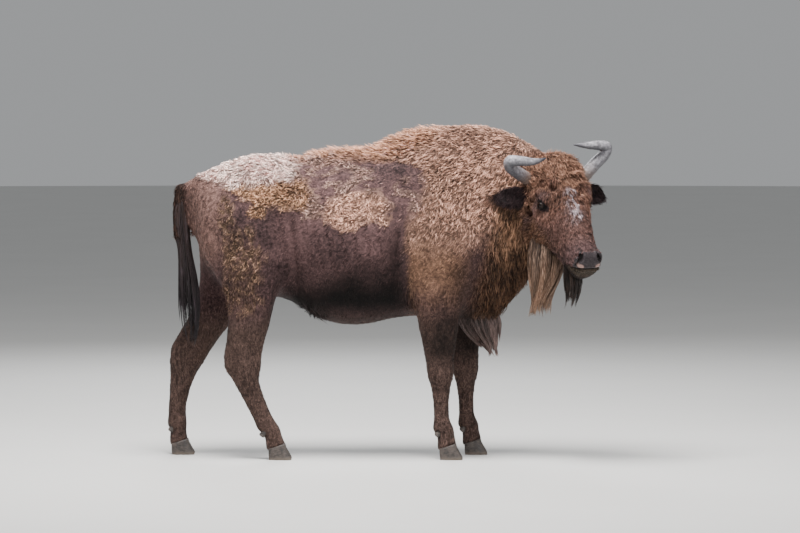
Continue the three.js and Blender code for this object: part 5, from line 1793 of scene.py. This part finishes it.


# %% [markdown]
# ## The horns' finish
# Horn is hair imported solid: grey and mottled, with pale flakes where it has been rubbed, brown near the head,
# and dark at the point. Its underside is darkened as painted shade. How far up the horn each point lies, and
# how much it faces up, are kept on the points, so the tones follow the horn round its curve. A gradient laid
# across the room would be simpler, but would cut straight through the bend.

# %% Worn horn, and both horns
def horn_finish():
    """Mottled grey, brown at the base and dark at the tip, with painted shade on the side that faces down."""
    recipe = Recipe("worn_horn")
    up_horn = recipe.attribute("up_horn")
    mottle = recipe.ramp(recipe.noise(0.014, 5), 0.30, 0.75)
    grey = recipe.mix(mottle, tint(90, 88, 93), tint(155, 153, 159))
    # Painted shade: the points that face down are darkened.
    painted_shade_below = recipe.ramp(recipe.attribute("upper_side"), 0.52, 0.12)
    grey = recipe.mix(recipe.math("MULTIPLY", painted_shade_below, 0.85), grey, tint(42, 42, 50))
    grey = recipe.mix(recipe.ramp(up_horn, 0.34, 0.06), grey, tint(94, 76, 66))
    grey = recipe.mix(recipe.ramp(up_horn, 0.80, 0.98), grey, tint(52, 52, 60))
    flakes = recipe.ramp(recipe.noise(0.006, 4), 0.55, 0.75)
    recipe.set("Base Color", recipe.mix(recipe.math("MULTIPLY", flakes, 0.20), grey, tint(206, 202, 198)))
    recipe.set("Roughness", recipe.ramp(mottle, 0.0, 1.0, (0.36, 0.58)))
    recipe.set("Normal", recipe.bump(recipe.noise(0.004, 4), 0.0006, 0.7))
    return recipe.material


HORN_FINISH = horn_finish()
for name in SIDES:
    mesh = horn_mesh(name)
    mesh.materials.append(HORN_FINISH)
    add_piece("horn_sheath_" + name, mesh, ["horn_" + name])
print("horns:", len(mesh.vertices), "points each")

# %% [markdown]
# ## Eyes
# An ox's eye is a dark ball with a wide brown iris and a pupil that lies level. Hardly any white shows. What
# brings it to life is the wet front, so the cornea bulges a little and the surface is nearly a mirror.

# %% Eyeballs
IRIS_ANGLE = math.radians(38)
PUPIL = {"long": 0.0078, "high": 0.0042}
CORNEA_BULGE = 0.0013
EYE_SLACK = 0.0004  # the ball is this much smaller than the frame's, and so clears the lids


def eyeball_mesh(name, side):
    """A ball with a bulge over the iris, which also knows where its iris and its pupil are."""
    aim, corner, upright = eye_axes(side)
    form = bmesh.new()
    bmesh.ops.create_uvsphere(form, u_segments=48, v_segments=32, radius=EYE_RADIUS)
    mesh = bpy.data.meshes.new("eyeball_" + name)
    form.to_mesh(mesh)
    form.free()
    places = points_of(mesh)
    away = np.arccos(np.clip(unit(places) @ aim, -1, 1))
    places = places + unit(places) * (CORNEA_BULGE * step(away, IRIS_ANGLE, 0.2))[:, None]
    pupil = np.hypot(places @ corner / PUPIL["long"], places @ upright / PUPIL["high"])
    pupil = np.where(places @ aim > 0, pupil, 9.0)
    iris = step(away, IRIS_ANGLE + 0.05, IRIS_ANGLE - 0.05)
    write_values(mesh, {"iris": iris, "pupil": step(pupil, 1.1, 0.9)})
    places = places * (1 - EYE_SLACK / EYE_RADIUS) + EYES[name]
    mesh.vertices.foreach_set("co", places.astype(np.float32).ravel())
    shade_smooth(mesh)
    return mesh


print("iris:", round(2 * EYE_RADIUS * math.sin(IRIS_ANGLE) * 1000, 1), "mm across")

# %% [markdown]
# ## A wet, dark eye
# The iris is so dark a brown that it is hard to tell from the pupil, and what shows is the shine on top. The
# colour comes from two numbers kept on the ball's points, one for the iris and one for the pupil, and a thin
# clear coat lies over it. A separate shell of glass would give the shine too, but glass that lies round
# another surface is slow to render and often lost on the way to another program.

# %% Wet eye, and both eyeballs
def eye_finish():
    recipe = Recipe("wet_eye")
    fibres = recipe.ramp(recipe.noise(0.002, 3), 0.3, 0.7)
    iris = recipe.mix(fibres, tint(15, 9, 7), tint(34, 20, 14))
    white = recipe.mix(fibres, tint(30, 21, 19), tint(48, 36, 32))
    colour = recipe.mix(recipe.attribute("iris"), white, iris)
    recipe.set("Base Color", recipe.mix(recipe.attribute("pupil"), colour, tint(8, 7, 8)))
    recipe.set("Roughness", 0.25)
    recipe.set("Specular IOR Level", 0.08)
    recipe.set("Coat Weight", 0.22)
    recipe.set("Coat Roughness", 0.03)
    return recipe.material


EYE_FINISH = eye_finish()
for name, side in SIDES.items():
    mesh = eyeball_mesh(name, side)
    mesh.materials.append(EYE_FINISH)
    add_piece("eyeball_" + name, mesh, ["eye_" + name])
print("eyeballs:", round(EYE_RADIUS * 2000, 1), "mm across")

# %% [markdown]
# ## Hooves
# The frame's claws have the right size and stance but few faces. Each is wrapped again at a finer step and
# relaxed, which rounds its edges as wear does, and then its sole is put back flat on the floor. Growth lines
# run round it, parallel to the coronet. The top is drawn up a little, to close the gap to the hair above.

# %% Claws and dewclaws
CLAW_VOXEL = 0.0036
DEWCLAW_VOXEL = 0.0026
COVERED = 0.008
GROWTH_LINE = 0.0065


def hoof_mesh(node, voxel, stands):
    mesh = wrapped(node, [node], voxel=voxel)
    places = points_of(mesh)
    low, high = places[:, 2].min(), places[:, 2].max()
    rest = places[:, 2] - low < voxel * 0.6
    places = relaxed(places, edges_of(mesh), np.full(len(places), 5.0))
    middle = places.mean(0)
    slant = places[:, 2] - low + 0.32 * -(places[:, 0] - middle[0])
    lines = 0.0005 * np.cos(slant * 2 * math.pi / GROWTH_LINE + 1.5 * drift(places, 0.03, 91))
    around = unit((places - middle) * array(1, 1, 0))
    places = places + around * (lines + 0.0006 * drift(places, 0.012, 92))[:, None]
    if stands:
        places[:, 2] = np.where(rest, 0.0, np.maximum(places[:, 2], 0.0))
        places[:, 2] += COVERED * step(slant, 0.048, 0.062)
    mesh.vertices.foreach_set("co", places.astype(np.float32).ravel())
    shade_smooth(mesh)
    return mesh


print("growth lines every", GROWTH_LINE * 1000, "mm")

# %% [markdown]
# ## The hooves' finish
# Hoof is the same stuff as horn, but softer, banded by growth, and dusty where it meets the ground. A noise
# that is squeezed in height gives level bands, and the height above the floor gives the dust, which fades
# within about two centimetres. Both are right only because the animal stands still; on one that walks, they
# would have to be tied to each hoof.

# %% Hoof horn, and all the claws
def hoof_finish():
    recipe = Recipe("hoof_horn")
    height = recipe.node("ShaderNodeSeparateXYZ", {0: recipe.place}).outputs["Z"]
    mottle = recipe.ramp(recipe.noise(0.02, 4), 0.35, 0.65)
    horn = recipe.mix(mottle, tint(38, 34, 33), tint(74, 66, 62))
    lines = recipe.ramp(recipe.noise(0.004, 3, (0.25, 0.25, 1.6)), 0.45, 0.7)
    horn = recipe.mix(recipe.math("MULTIPLY", lines, 0.5), horn, tint(104, 94, 86))
    dusty = recipe.ramp(height, 0.022, 0.0)
    recipe.set("Base Color", recipe.mix(recipe.math("MULTIPLY", dusty, 0.6), horn, tint(122, 110, 98)))
    recipe.set("Roughness", recipe.ramp(mottle, 0.0, 1.0, (0.42, 0.68)))
    recipe.set("Normal", recipe.bump(lines, 0.0006, 0.6))
    return recipe.material


HOOF_FINISH = hoof_finish()
for node in sorted(nodes):
    if node.startswith(("claw", "dewclaw")):
        claw = node.startswith("claw")
        mesh = hoof_mesh(node, CLAW_VOXEL if claw else DEWCLAW_VOXEL, claw)
        mesh.materials.append(HOOF_FINISH)
        add_piece("worn_" + node, mesh, [node])
print(sum(1 for node in nodes if node.startswith(("claw", "dewclaw"))), "claws and dewclaws")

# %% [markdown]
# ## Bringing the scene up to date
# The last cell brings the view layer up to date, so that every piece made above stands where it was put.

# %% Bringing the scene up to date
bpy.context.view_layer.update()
